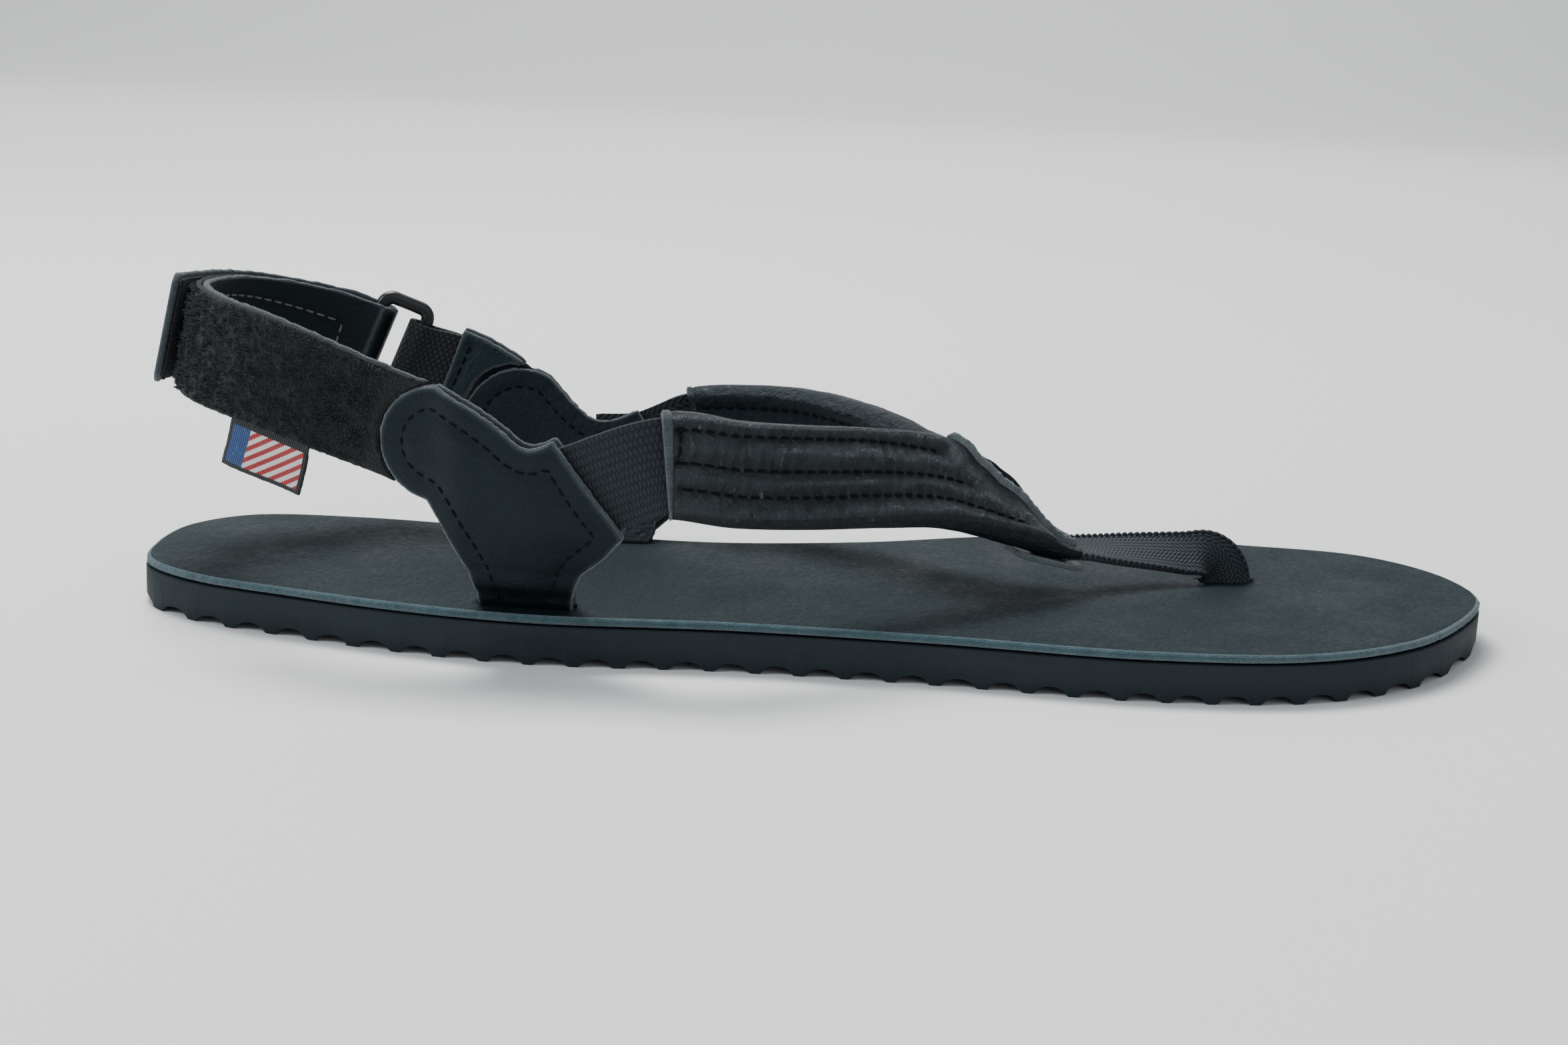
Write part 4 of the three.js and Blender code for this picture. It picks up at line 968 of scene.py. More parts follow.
def on_ring(run, across, out):
    """Like a place on the strap, but on the flat that touches it at the ring's rear bar."""
    run, across, out = (np.asarray(v, float)[..., None] for v in (run, across, out))
    return ring_base + ring_along * (run - REAR_BAR) + ring_up * across + ring_out * out


def rounded_box(width, height, radius, count=9):
    """A rectangle about its middle, its corners turned with this radius."""
    loop = []
    for k, (sx, sy) in enumerate([(1, 1), (-1, 1), (-1, -1), (1, -1)]):
        for a in np.linspace(k * math.pi / 2, (k + 1) * math.pi / 2, count):
            loop.append((sx * (width / 2 - radius) + radius * math.cos(a),
                         sy * (height / 2 - radius) + radius * math.sin(a)))
    return np.array(loop)


def mould_ring():
    """Sweeps a soft square section round a rectangle with round corners."""
    tall = STRAP_WIDTH + 2 * SIDE_ROOM + RING_BAR
    line = rounded_box(RING_LENGTH - RING_BAR, tall, 2.2)
    section = rounded_box(RING_BAR, RING_BAR, 0.95, 5)
    corners = []
    for p, f in zip(line, outward_of(line)):
        for across, out in section:
            flat = p + f * across
            corners.append(on_ring(RING_MIDDLE + flat[0], flat[1], BAR_CENTRE + out))
    faces = tube_faces(len(line), len(section), closed=True)
    corners = np.array(corners)
    return body_mesh("adjuster_ring", corners, faces, corners[:, :2], [ring_plastic],
                     [0] * len(faces))


settle(mould_ring(), "ring", "ring_plastic", "ring")

KEEPER_LEG, LEG_MIDDLE, KEEPER_NECK = 12, 9.5, 7
turn_radius = BAR_CENTRE - LEATHER + WEBBING / 2
near_leg, far_leg = LEATHER + GAP + WEBBING / 2, LEATHER + GAP + 1.5 * WEBBING + 0.35
bend = [(turn_radius * math.cos(a), BAR_CENTRE + turn_radius * math.sin(a))
        for a in np.linspace(-math.pi / 2 - 0.2, -1.5 * math.pi + 0.2, 21)]
leg_marks = (KEEPER_LEG, LEG_MIDDLE, KEEPER_NECK)
keeper_line = drawn_curve(
    [(x, near_leg) for x in leg_marks] + bend + [(x, far_leg) for x in leg_marks[::-1]],
    np.linspace(0, 1, 300),
)


def along_line(line):
    """Gives the place and the facing along a drawn line, by distance."""
    reach = run_along(line)
    aim = unit(np.gradient(line, axis=0))

    def at(distance):
        way = at_length(distance, reach, aim)
        return at_length(distance, reach, line), np.stack([way[..., 1], -way[..., 0]], -1)
    return reach[-1], at


keeper_length, keeper_at = along_line(keeper_line)


def oblong(start, stop, low, high):
    return [(start, low), (stop, low), (stop, high), (start, high)]


def on_keeper(distance, across, out):
    """Round the ring's bar at the bend, and along the strap's own curve at the legs' ends."""
    place, facing = keeper_at(distance)
    flat = place + facing * np.asarray(out)[..., None]
    run, level = FRONT_BAR + flat[..., 0], flat[..., 1]
    share = eased(flat[..., 0] / KEEPER_NECK)[..., None]
    return on_ring(run, across, level) * (1 - share) + on_strap(run, across, level) * share


mesh_cloth = woven_cloth("mesh_cloth", (0.0035, 0.0045, 0.005), (0.026, 0.031, 0.034), rib=0.95,
                         pick=1.1, depth=0.3)
half_keeper = (STRAP_WIDTH - 1.5) / 2
WEB_FACE = WEBBING / 2 - 0.05
keeper = cut_layer(
    "keeper_webbing", oblong(0, keeper_length, -half_keeper, half_keeper), (0.6, 1.0), on_keeper,
    -WEB_FACE, WEB_FACE, mesh_cloth, soften=0.3,
)
settle(keeper, "heel_strap", "webbing", "ring_keeper")

# --- Arm ---
# The short arm between the keeper and the inner wing: an outer leather and a lining of the same
# pebbled hide, sewn round the keeper's legs.

ARM_START = FRONT_BAR + KEEPER_NECK
ARM_LEGS = LEATHER + 3 * GAP + 2 * WEBBING


def arm_pattern(shift, start=ARM_START):
    """The hollow end fits round the wing; shift moves it back from the wing or on into it."""
    half = ARM_WIDTH / 2 - 0.15
    across = np.linspace(-half, half, 19)
    hollow = np.stack([hollow_end(INNER_HINGE, INNER_RADIUS, -1, across) + shift, across], 1)
    return np.vstack([hollow, [(start, half), (start, -half)]])


arm_leather = grained_leather(
    "arm_leather", (0.006, 0.0095, 0.012), (0.015, 0.022, 0.027), grain=0.75, depth=0.16,
    roughness=0.5, creases=0.25, worn=(0.09, 0.10, 0.10),
)
arm_outline = arm_pattern(-0.35)
arm_row_start = ARM_START + 1.8
arm_rows = [np.array([(arm_row_start, 9.2), (arm_row_start, -9.2)]),
            np.array([(arm_row_start, 8.6), (INNER_HINGE - INNER_RADIUS - 1, 8.6)])]
arm_lining = cut_layer(
    "arm_lining", arm_outline, (0.8, 0.9), on_strap, drawn_in(arm_rows, 0.35, 0.8), LEATHER,
    raw_edge, raw_edge, arm_leather, soften=0.4, fray=0.2,
)
settle(arm_lining, "heel_strap", "lining_leather", "medial_arm_lining")
settle(sew("arm_inside_stitches", arm_rows, on_strap, 0.28, black_thread, inside=True),
       "heel_strap", "lining_leather")
arm = cut_layer(
    "arm_leather_outside", arm_outline, (0.8, 0.9), on_strap, ARM_LEGS,
    sewn(ARM_LEGS + LEATHER, arm_rows), arm_leather, raw_edge, raw_edge, soften=0.4, fray=0.2,
)
settle(arm, "heel_strap", "black_leather", "medial_arm")
settle(sew("arm_stitches", arm_rows, on_strap, ARM_LEGS + LEATHER - SUNK, black_thread),
       "heel_strap", "black_leather")

tongue = cut_layer(
    "arm_tongue", arm_pattern(TUCK, FRONT_BAR + KEEPER_LEG + GAP), (0.9, 0.9), on_strap,
    TONGUE_NEAR, TONGUE_FAR, wing_lining, soften=0.3,
)
settle(tongue, "heel_strap", "lining_leather")

# --- Tail ---
# The strap turns round the ring's rear bar and runs back outside itself. Hook tape on its inner
# face grips the loop tape; its cut end stands off a little so that fingers can lift it.

HOOK_START, END_LIFT, FOLD_RUN = 9, 1.4, 4.2
CLOSED_NEAR = TAPE_NEAR + 2 * TAPE + 2 * GAP
fold_radius = BAR_CENTRE - LEATHER / 2
fold_marks = [(0.0, LEATHER / 2)]
fold_marks += [(fold_radius * math.sin(a), BAR_CENTRE - fold_radius * math.cos(a))
               for a in np.linspace(0.12, math.pi - 0.12, 19)]
fold_marks += [(run, TAIL_NEAR + LEATHER / 2) for run in (0.0, -2.0, -FOLD_RUN)]
fold_length, fold_at = along_line(drawn_curve(fold_marks, np.linspace(0, 1, 240)))


def tail_lift(run):
    """How far the tail stands out: over the hook tape, and a little more at its cut end."""
    pressed = eased((TAIL_FOLD - run) / HOOK_START)
    loose = eased((TAIL_END + 12 - run) / 12)
    return (CLOSED_NEAR - TAIL_NEAR) * pressed + END_LIFT * loose


def on_tail(distance, across, out):
    """Along the fold first, then back along the strap; out runs from the leather's grip side."""
    distance, across, out = (np.asarray(v, float) for v in (distance, across, out))
    spot, facing = fold_at(np.clip(distance, 0, fold_length))
    flat = spot + facing * (out - LEATHER / 2)[..., None]
    folded = on_ring(REAR_BAR + flat[..., 0], across, flat[..., 1])
    run = REAR_BAR - FOLD_RUN - (distance - fold_length)
    laid = on_strap(run, across, TAIL_NEAR + out + tail_lift(run))
    share = eased((distance - fold_length + 3.5) / 4.5)[..., None]
    return folded * (1 - share) + laid * share


tail_length = fold_length + (REAR_BAR - FOLD_RUN - TAIL_END)
half, CORNER, INSET, ROW_STOP = STRAP_WIDTH / 2, 1.5, 2.6, 3
tail_outline = [(0, -half), (tail_length - CORNER, -half), (tail_length, -half + CORNER),
                (tail_length, half - CORNER), (tail_length - CORNER, half), (0, half)]
tail_rows = [np.array([(fold_length + 3, y), (tail_length - INSET, y)])
             for y in (-half + INSET, half - INSET)]
tail_rows += [np.array([(x, -half + ROW_STOP), (x, half - ROW_STOP)])
              for x in (tail_length - INSET, fold_length + 8)]
tail = cut_layer(
    "tail_leather", tail_outline, (0.9, 1.0), on_tail, 0.0, sewn(LEATHER, tail_rows), wing_leather,
    raw_edge, raw_edge, soften=0.4, fray=0.3,
)
tail_stitches = sew("tail_stitches", tail_rows, on_tail, LEATHER - SUNK, black_thread)
peel = next(j for j in frame["joints"] if j["name"] == "tail_peel")
peel_at = np.array(peel["pos_m"])
peel_way = unit(on_strap(TAIL_FOLD - 3, 0, TAIL_NEAR) - on_strap(TAIL_FOLD + 3, 0, TAIL_NEAR))
for piece, nodes in ((tail, ("strap_tail",)), (tail_stitches, ())):
    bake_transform(piece)
    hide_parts(*nodes)

hook_from, hook_to, half_hook = fold_length + HOOK_START - 0.2, tail_length - 0.3, half - 0.75
HOOK_ROOT = -GAP - TAPE + 0.55
hook_tape = cut_layer(
    "hook_tape_backing", oblong(hook_from, hook_to, -half_hook, half_hook), (1.2, 1.2), on_tail,
    HOOK_ROOT, -GAP, pile_cloth, soften=0.3,
)
settle(hook_tape, "tail", "hook_pile", "hook_tape")


def hook_rows(name, thread):
    """Short stiff hooks in rows, on the tape's gripping face."""
    corners, faces = [], []
    ring = np.array([0, 2, 4]) * math.pi / 3
    stem, wire = [(0, 0.05), (0, 0.3), (0.1, 0.5), (0.28, 0.52)], 0.09
    for distance in np.arange(hook_from + 0.8, tail_length - 0.5, 1.5):
        for across in np.arange(-half + 1.4, half - 1.2, 1.1):
            faces += tube_faces(len(stem), len(ring), len(corners))
            corners += [(distance + wire * math.cos(a), across + sideways + wire * math.sin(a),
                         HOOK_ROOT - drop) for sideways, drop in stem for a in ring]
    flat = np.array(corners)
    return body_mesh(name, on_tail(*flat.T), faces, flat[:, :2], [thread], [0] * len(faces))


settle(hook_rows("hook_tape_hooks", pile_yarn), "tail", "hook_pile")

# --- Side tag ---
# A small woven label, folded double and caught between the strap's plies: a dark border, a blue end
# band and slanting red and pale bars. It hangs below the strap's lower edge.

TAG_LENGTH, TAG_DROP, TAG_THICK, TAG_GAP, TAG_TUCK = 18.2, 8.3, 0.8, 0.9, 2.4
TAG_RUN = float(outer_at(-102.5))
tag_hem = lambda step: on_strap(TAG_RUN + step, -STRAP_WIDTH / 2 - TAG_GAP, LEATHER)
tag_along, tag_up, tag_out = squared(
    tag_hem(1) - tag_hem(-1), on_strap(TAG_RUN, 0, LEATHER) - tag_hem(0),
)


def on_tag(run, across, out):
    """The label's drop, a little rippled; above the hem it is pressed between the plies."""
    ripple = 0.35 * np.sin(run / 3.1) * eased(-across / 6) + 0.15 * np.sin(across / 1.7)
    tucked = eased((across + 0.9) / 1.6)
    out = (out - TAG_THICK / 2) * (1 - 0.75 * tucked) + 0.15 * tucked + ripple * (1 - tucked)
    run, across, out = run[..., None], across[..., None], out[..., None]
    return tag_hem(0) + tag_along * run + tag_up * across + tag_out * out


def label_weave():
    """Bars and an end band woven into a label; x runs from its rear edge, y down it."""
    bar_pitch, band_end, thread_pitch, ground = 1.1, 4.2, 0.45, (0.006, 0.008, 0.009)
    label = new_finish("label_weave", (0.3, 0.03, 0.03), 0.85, Sheen_Weight=0.2)
    split = worked(label, "ShaderNodeSeparateXYZ",
                   {"Vector": worked(label, "ShaderNodeTexCoord").outputs["UV"]})
    x, y = split.outputs["X"], split.outputs["Y"]
    slant = sum_of(label, sum_of(label, x, 0.8, "MULTIPLY"), y)
    bars = worked(
        label, "ShaderNodeMath",
        {0: sum_of(label, slant, math.pi / (bar_pitch * MM), "MULTIPLY")}, operation="SINE",
    )
    bars = tint(label, between(label, bars.outputs[0], 0, 1, -0.25, 0.25), (0.33, 0.02, 0.025),
                (0.62, 0.6, 0.58))
    band = worked(label, "ShaderNodeMath", {0: x, 1: band_end * MM}, operation="GREATER_THAN")
    specks = pebbled_pattern(label, 0.9)
    blue = tint(label, between(label, specks, 1, 0, 0.12, 0.3), (0.012, 0.05, 0.16),
                (0.05, 0.13, 0.3))
    edge = worked(label, "ShaderNodeAttribute", attribute_name="from_edge").outputs["Fac"]
    border = between(label, edge, 1, 0, 0.75, 0.95)
    hem = worked(label, "ShaderNodeMath", {0: y, 1: -0.1 * MM}, operation="GREATER_THAN")
    shown = bars
    for share, top in ((band.outputs[0], blue), (border, ground), (hem.outputs[0], ground)):
        shown = tint(label, share, shown, top)
    threads = worked(
        label, "ShaderNodeMath",
        {0: sum_of(label, x, 2 * math.pi / (thread_pitch * MM), "MULTIPLY")}, operation="SINE",
    ).outputs[0]
    return dress(label, shown, None, threads, 0.06)


tag = cut_layer(
    "woven_tag", oblong(-TAG_LENGTH / 2, TAG_LENGTH / 2, -TAG_DROP, TAG_TUCK), (0.6, 0.4), on_tag,
    0.0, TAG_THICK, label_weave(), soften=0.2, fray=0.12,
)
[tuple((tag_hem(0) + tag_up * y + OFFSET) * MM)
                                     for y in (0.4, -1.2)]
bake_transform(tag)
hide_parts("side_tag")

# --- Instep webbing ---
# Nylon webbing runs from inside each wing through the padded sleeves. The outer one shows close
# ribs along its length; the inner one is a coarser weave.

WEB_WIDTH, PAD_WIDTH, PAD_THICK = 17.5, 20.0, 5.0
WEB_MIDDLE = LEATHER + PLY_GAP + WEBBING / 2


def in_wing(side_at, x, height):
    """A mark of a webbing inside its wing, midway between the leathers."""
    return tuple(on_wall(float(side_at(x)), BED_TOP + height, WEB_MIDDLE))


def lifted(x, y, height):
    """A mark at a height above the footbed."""
    return (x, y, BED_TOP + height)


OUTER_MARKS = [
    in_wing(outer_at, -60, 19.5), in_wing(outer_at, -46, 25), lifted(-30.7, -46.5, 30),
    lifted(-17.4, -42.3, 28.2), lifted(-4, -35.8, 27), lifted(9, -27, 25.8), lifted(22, -17, 23.6),
    lifted(37, -6.2, 16.9), lifted(49.5, 3, 10.4), lifted(58, 9, 7),
]
OUTER_ACROSS = [
    (-0.36, 0, 0.93), (-0.34, 0, 0.94), (-0.2, 0.05, 0.98), (-0.15, 0.22, 0.96),
    (-0.11, 0.38, 0.92), (-0.1, 0.53, 0.84), (-0.1, 0.66, 0.74), (-0.16, 0.84, 0.46),
    (-0.2, 0.93, 0.22), (-0.2, 0.93, 0.22),
]
INNER_MARKS = [
    in_wing(inner_at, -50, 17.5), in_wing(inner_at, -40, 18.3), lifted(-29, 35.5, 21.6),
    lifted(-16, 34, 23.4), lifted(-3.5, 28.3, 24.2), lifted(9, 18, 24), lifted(21.5, 5, 22.2),
    lifted(35, -2, 18.8), lifted(48, -7, 12.6), lifted(58, -10, 7),
]
INNER_ACROSS = [
    (-0.4, 0, 0.92), (-0.38, 0, 0.92), (-0.2, -0.1, 0.97), (-0.12, -0.25, 0.96),
    (-0.1, -0.38, 0.92), (-0.1, -0.56, 0.82), (-0.1, -0.72, 0.69), (-0.1, -0.88, 0.42),
    (-0.1, -0.95, 0.2), (-0.1, -0.95, 0.2),
]


def ribbon_route(marks, acrosses):
    """A strap's centre line by length, with the directions across it and out of it."""
    share = np.linspace(0, 1, 1601)
    line = drawn_curve(marks, share)
    reach = run_along(line)
    aim = unit(np.gradient(line, axis=0))
    across = drawn_curve(acrosses, share, even=True)
    across = unit(across - aim * np.sum(across * aim, axis=1)[:, None])
    facing = np.cross(aim, across)

    def at(distance, sideways, out):
        distance, sideways, out = (np.asarray(v, float) for v in (distance, sideways, out))
        return (at_length(distance, reach, line)
                + at_length(distance, reach, across) * sideways[..., None]
                + at_length(distance, reach, facing) * out[..., None])
    at.share = lambda s: float(np.interp(s, share, reach))
    return at


outer_route = ribbon_route(OUTER_MARKS, OUTER_ACROSS)
inner_route = ribbon_route(INNER_MARKS, INNER_ACROSS)


def held_route(route, side_at, side):
    """Inside its wing a webbing lies against the wall, and it runs free once out of it."""
    held_to, free_from = route.share(0.17), route.share(0.222)

    def at(distance, across, out):
        distance = np.asarray(distance, float)
        free = route(distance, across, 0 * distance)
        held = on_wall(side_at(free[..., 0]), free[..., 2], WEB_MIDDLE - side * np.asarray(out))
        share = eased((distance - held_to) / (free_from - held_to))[..., None]
        return held * (1 - share) + route(distance, across, out) * share
    return at


outer_webbing_at = held_route(outer_route, outer_at, -1)
inner_webbing_at = held_route(inner_route, inner_at, 1)
ribbed_cloth = woven_cloth("ribbed_cloth", (0.004, 0.006, 0.0075), (0.02, 0.028, 0.034), rib=1.5,
                           pick=0.8, depth=0.15)
coarse_cloth = woven_cloth("coarse_cloth", (0.004, 0.0055, 0.0065), (0.026, 0.032, 0.036), rib=1.2,
                           pick=1.4, depth=0.3, zigzag=2.4)
ribs = lambda p: 0.16 * np.abs(np.sin(math.pi * p[:, 1] / 1.5))
half_web = WEB_WIDTH / 2
for name, at, cloth, node, stop in (
    ("lateral_instep_webbing", outer_webbing_at, ribbed_cloth, "lateral_webbing",
     outer_route.share(0.6)),
    ("medial_instep_webbing", inner_webbing_at, coarse_cloth, "medial_webbing",
     inner_route.share(0.6)),
):
    webbing = cut_layer(
        name, oblong(0, stop, -half_web, half_web), (1.2, 0.375), at,
        lambda p: -WEB_FACE - ribs(p) * 0.5, lambda p: WEBBING / 2 - 0.12 + ribs(p), cloth,
        soften=0.3, fray=0.06,
    )
    settle(webbing, "sole", "webbing", node)

# --- Instep pads ---
# Each pad is a soft leather sleeve with a thin foam filling, turned over its long edges and sewn
# through in rows that quilt it. The two meet at the front in a raw seam that slants to the toe.

SEAM_TOP, SEAM_TIP = np.array([22.9, -9.0]), np.array([51.0, -2.2])
TIP_LEVEL = BED_TOP + 7.3
seam_way = unit(SEAM_TIP - SEAM_TOP)
off_seam = np.array([-seam_way[1], seam_way[0]])
pad_leather = grained_leather(
    "pad_leather", (0.019, 0.0178, 0.0165), (0.050, 0.047, 0.044), grain=1.15, depth=0.42,
    roughness=0.36, creases=1.3, worn=(0.09, 0.085, 0.08), crease_run=(1.8, 1.8, 0.7), shine=0.62,
)
pad_inside = grained_leather(
    "pad_inside", (0.006, 0.0085, 0.010), (0.016, 0.020, 0.023), grain=1.3, depth=0.28,
    roughness=0.5, creases=0.6, worn=(0.08, 0.08, 0.08),
)


def sleeve_section(count=18):
    """The sleeve's outline: two broad faces and two rolled edges, from one edge round."""
    half, r = PAD_WIDTH / 2, PAD_THICK / 2
    flat = np.linspace(-(half - r), half - r, count)
    turn = np.linspace(0, math.pi, 9)[1:-1]
    outer = [(a, r) for a in flat]
    top = [(half - r + r * math.sin(t), r * math.cos(t)) for t in turn]
    inner = [(a, -r) for a in flat[::-1]]
    low = [(-(half - r) - r * math.sin(t), -r * math.cos(t)) for t in turn]
    return np.array(outer + top + inner + low)


def quilt(marks, side, rows, roll, seed):
    """How far the leather stands from its plain shape: channels, stitch dimples and puckers."""
    near_row = np.full(len(marks), 99.0)
    dimple = np.zeros(len(marks))
    for row in rows:
        gap, along = edge_distance(marks, row)
        near_row = np.minimum(near_row, gap)
        dimple += (0.75 + 0.25 * np.cos(2 * math.pi * along / 2.6)) * np.exp(-((gap / 0.8) ** 2))
    pucker, crease = ripples(marks, 1.5, 4.5, seed), ripples(marks, 5.0, 3.0, seed + 4)
    clear = 1 - np.exp(-((near_row / 1.1) ** 2))
    swell = 0.7 * (1 - np.exp(-((near_row / 2.0) ** 2))) - 0.5 * dimple
    swell += (0.55 * pucker * np.exp(-((near_row / 3.4) ** 2)) + 0.3 * crease) * clear
    return swell * side * roll


def make_pad(name, route, rows_outer, rows_inner, keep_side, seed, finishes):
    """Builds a sleeve along its route, quilts it, and cuts it along the seam."""
    section = sleeve_section()
    start, stop = route.share(2 / 9), route.share(1.0)
    lengths = np.concatenate([[start, start, start + 0.25, start + 0.9, start + 1.2],
                              np.arange(start + 1.6, stop, 0.65)])
    shrink = np.concatenate([[0.72, 0.9, 1.04, 1.04, 0.97], np.ones(len(lengths) - 5)])
    flat = np.array([(d, *p) for d in lengths for p in section])
    swell = np.zeros(len(flat))
    broad = np.abs(flat[:, 1]) < PAD_WIDTH / 2 - 0.4
    roll = eased((PAD_WIDTH / 2 + 0.2 - np.abs(flat[:, 1])) / 1.6)
    for side, rows in ((1, rows_outer), (-1, rows_inner)):
        part = (flat[:, 2] * side > 0) & broad
        swell[part] = quilt(flat[part][:, :2], side, rows, roll[part], seed + side)
    squeeze = np.repeat(shrink, len(section))
    begin = np.repeat(lengths < start + 1.5, len(section))
    swell[begin] = 0
    corners = route(flat[:, 0], flat[:, 1] * np.where(begin, 0.5 + squeeze / 2, 1),
                    flat[:, 2] * squeeze + swell)
    reach = np.linalg.norm(corners[:, :2] - SEAM_TIP, axis=1)
    pinch = 0.4 + 0.6 * eased((reach - 1.5) / 13)
    corners[:, 2] = TIP_LEVEL + (corners[:, 2] - TIP_LEVEL) * pinch
    binding = range(1, 4)  # the rings of the raw edge at the sleeve's rear end
    kinds = [1 if k in binding else (2 if level < -0.1 else 0)
             for k in range(len(lengths) - 1) for level in section[:, 1]] + [1, 1]
    pad = body_mesh(name, corners, tube_faces(len(lengths), len(section)), flat[:, :2], finishes,
                    kinds, np.full(len(flat), 9.0))
    cut = bmesh.new()
    cut.from_mesh(pad.data)
    facing = np.array([*off_seam, 0]) * keep_side
    seat = np.array([*SEAM_TIP, 0]) + OFFSET
    ahead = np.array([*seam_way, 0])
    for spot, away in ((seat - facing * 0.15, facing), (seat, ahead)):
        edge = bmesh.ops.bisect_plane(
            cut, geom=cut.verts[:] + cut.edges[:] + cut.faces[:], dist=1e-7,
            plane_co=spot * MM, plane_no=away, clear_outer=True,
        )["geom_cut"]
        filled = bmesh.ops.holes_fill(
            cut, edges=[e for e in edge if isinstance(e, bmesh.types.BMEdge)], sides=0)
        for face in filled["faces"]:
            face.material_index = 1
            face.smooth = False
    bmesh.ops.recalc_face_normals(cut, faces=cut.faces)
    cut.to_mesh(pad.data)
    cut.free()
    return pad


def quilt_row(route, *marks):
    """A sewing line from marks of share along the route and distance across it."""
    return drawn_curve([(route.share(s), a) for s, a in marks], np.linspace(0, 1, 60))


outer_quilt = [
    quilt_row(outer_route, (0.235, 6.6), (0.4, 6.9), (0.55, 6.6), (0.66, 5.2)),
    quilt_row(outer_route, (0.235, 0.6), (0.4, 0.6), (0.55, 0.4), (0.70, -0.6)),
    quilt_row(outer_route, (0.245, -4.2), (0.4, -4.4), (0.6, -4.4), (0.78, -6.6)),
]
rear_cross = [np.array([(outer_route.share(0.24), across) for across in (6.6, 0.6)])]
inner_quilt = [
    quilt_row(inner_route, (0.24, 5.6), (0.4, 5.8), (0.6, 5.6), (0.7, 5.0)),
    quilt_row(inner_route, (0.24, -5.6), (0.4, -5.8), (0.6, -5.6), (0.7, -5.0)),
]
lateral_pad = make_pad("lateral_instep_pad", outer_route, outer_quilt + rear_cross, inner_quilt[:1],
                       1, 21.0, [pad_leather, raw_edge, pad_inside])
settle(lateral_pad, "sole", "pad_leather", "lateral_pad")
medial_pad = make_pad("medial_instep_pad", inner_route, inner_quilt, inner_quilt, -1, 31.0,
                      [pad_inside, pad_leather, pad_leather])
settle(medial_pad, "sole", "pad_leather", "medial_pad")


def seam_side(route, point_list, keep_side):
    """Keeps the part of a sewing row that stays on this pad's side of the seam."""
    spots = route(point_list[:, 0], point_list[:, 1], PAD_THICK / 2 + 0 * point_list[:, 0])
    off = (spots[:, :2] - SEAM_TIP) @ off_seam * keep_side
    return point_list[off < -1.2]


for name, route, quilting, keep_side, whole in (
    ("lateral_pad_stitches", outer_route, outer_quilt, 1, rear_cross),
    ("medial_pad_stitches", inner_route, inner_quilt, -1, []),
):
    shown_rows = [seam_side(route, row, keep_side) for row in quilting] + whole
    settle(sew(name, shown_rows, route, PAD_THICK / 2 - SUNK, black_thread, pitch=2.6, stitch=2.0,
               thick=0.5), "sole", "pad_leather")

# --- Seam and under flap ---
# The sleeves' front ends are sewn face to face; their raw edges stand up along the seam. A small
# leather flap below covers the start of the toe webbing.


WELL_ABOVE = 200


def highest_on(pieces, x, y):
    """The top of these pieces under a point, in millimetres."""
    best = None
    for piece in pieces:
        start = Vector((x, y, WELL_ABOVE)) * MM
        hit, spot, *_ = piece.ray_cast(start, Vector((0, 0, -1)))
        if hit and (best is None or spot.z / MM > best):
            best = spot.z / MM
    return best


def seam_bead(name, sideways, width, proud, finish, seed):
    """A raw edge that stands along the seam, from its top to the tip of the V."""
    line = []
    for share in np.linspace(-0.02, 1.0, 70):
        spot = SEAM_TOP + (SEAM_TIP - SEAM_TOP) * share + off_seam * sideways
        beside = spot + off_seam * np.sign(sideways) * 0.3 + OFFSET[:2]
        top = highest_on((lateral_pad, medial_pad), *beside)
        if top is not None:
            line.append((*spot, top))
    line = np.array(line)
    line[:, 2] = np.convolve(np.pad(line[:, 2], 3, mode="edge"), np.ones(7) / 7, "valid")
    line = drawn_curve(line, np.linspace(0, 1, 120))
    aim = unit(np.gradient(line, axis=0))
    side = unit(np.cross(aim, (0, 0, 1.0)))
    up = np.cross(side, aim)
    section = rounded_box(width, 1.0 + proud, width * 0.45, 4)
    corners = []
    for k in range(len(line)):
        fade = min(1, k / 6 + 0.3, (len(line) - 1 - k) / 6 + 0.3)
        for a, b in section:
            rough = noise.noise(Vector(tuple(line[k] * 1.1 + a + (0, 0, b + seed)))) * 0.3
            corners.append(line[k] + side[k] * (a * fade + rough * 0.5)
                           + up[k] * ((b + proud / 2) * fade + rough * (b > 0)))
    faces = tube_faces(len(line), len(section))
    corners = np.array(corners)
    return body_mesh(name, corners, faces, corners[:, :2], [finish], [0] * len(faces))


pale_edge = napped_suede("pale_edge", (0.05, 0.07, 0.075), (0.22, 0.27, 0.28))
settle(seam_bead("seam_edge", -1.9, 1.1, 0.9, pale_edge, 3.0), "sole", "pad_leather")

flap_route = ribbon_route([lifted(37, -10, 9.2), lifted(44, -7, 7.2), lifted(51.5, -2.8, 5.0)],
                          [(-0.3, 0.93, 0.05)] * 3)
flap_length = flap_route.share(1.0)
flap = cut_layer(
    "under_flap_leather",
    [(0, -3.2), (1.5, -4.5), (flap_length - 3, -4.5), (flap_length, -2.6), (flap_length, 3.4),
     (flap_length - 2, 4.5), (0, 4.5)],
    (0.8, 0.8), flap_route, -LEATHER / 2, LEATHER / 2, pad_leather, pale_edge, raw_edge,
    soften=0.45, fray=0.3,
)
settle(flap, "sole", "pad_leather", "under_flap")

# --- Toe webbing ---
# A narrow woven tape from the point of the V to the toe slot. It lies flat, then turns on edge as
# it goes down through the footbed; its selvages are chains of small loops.

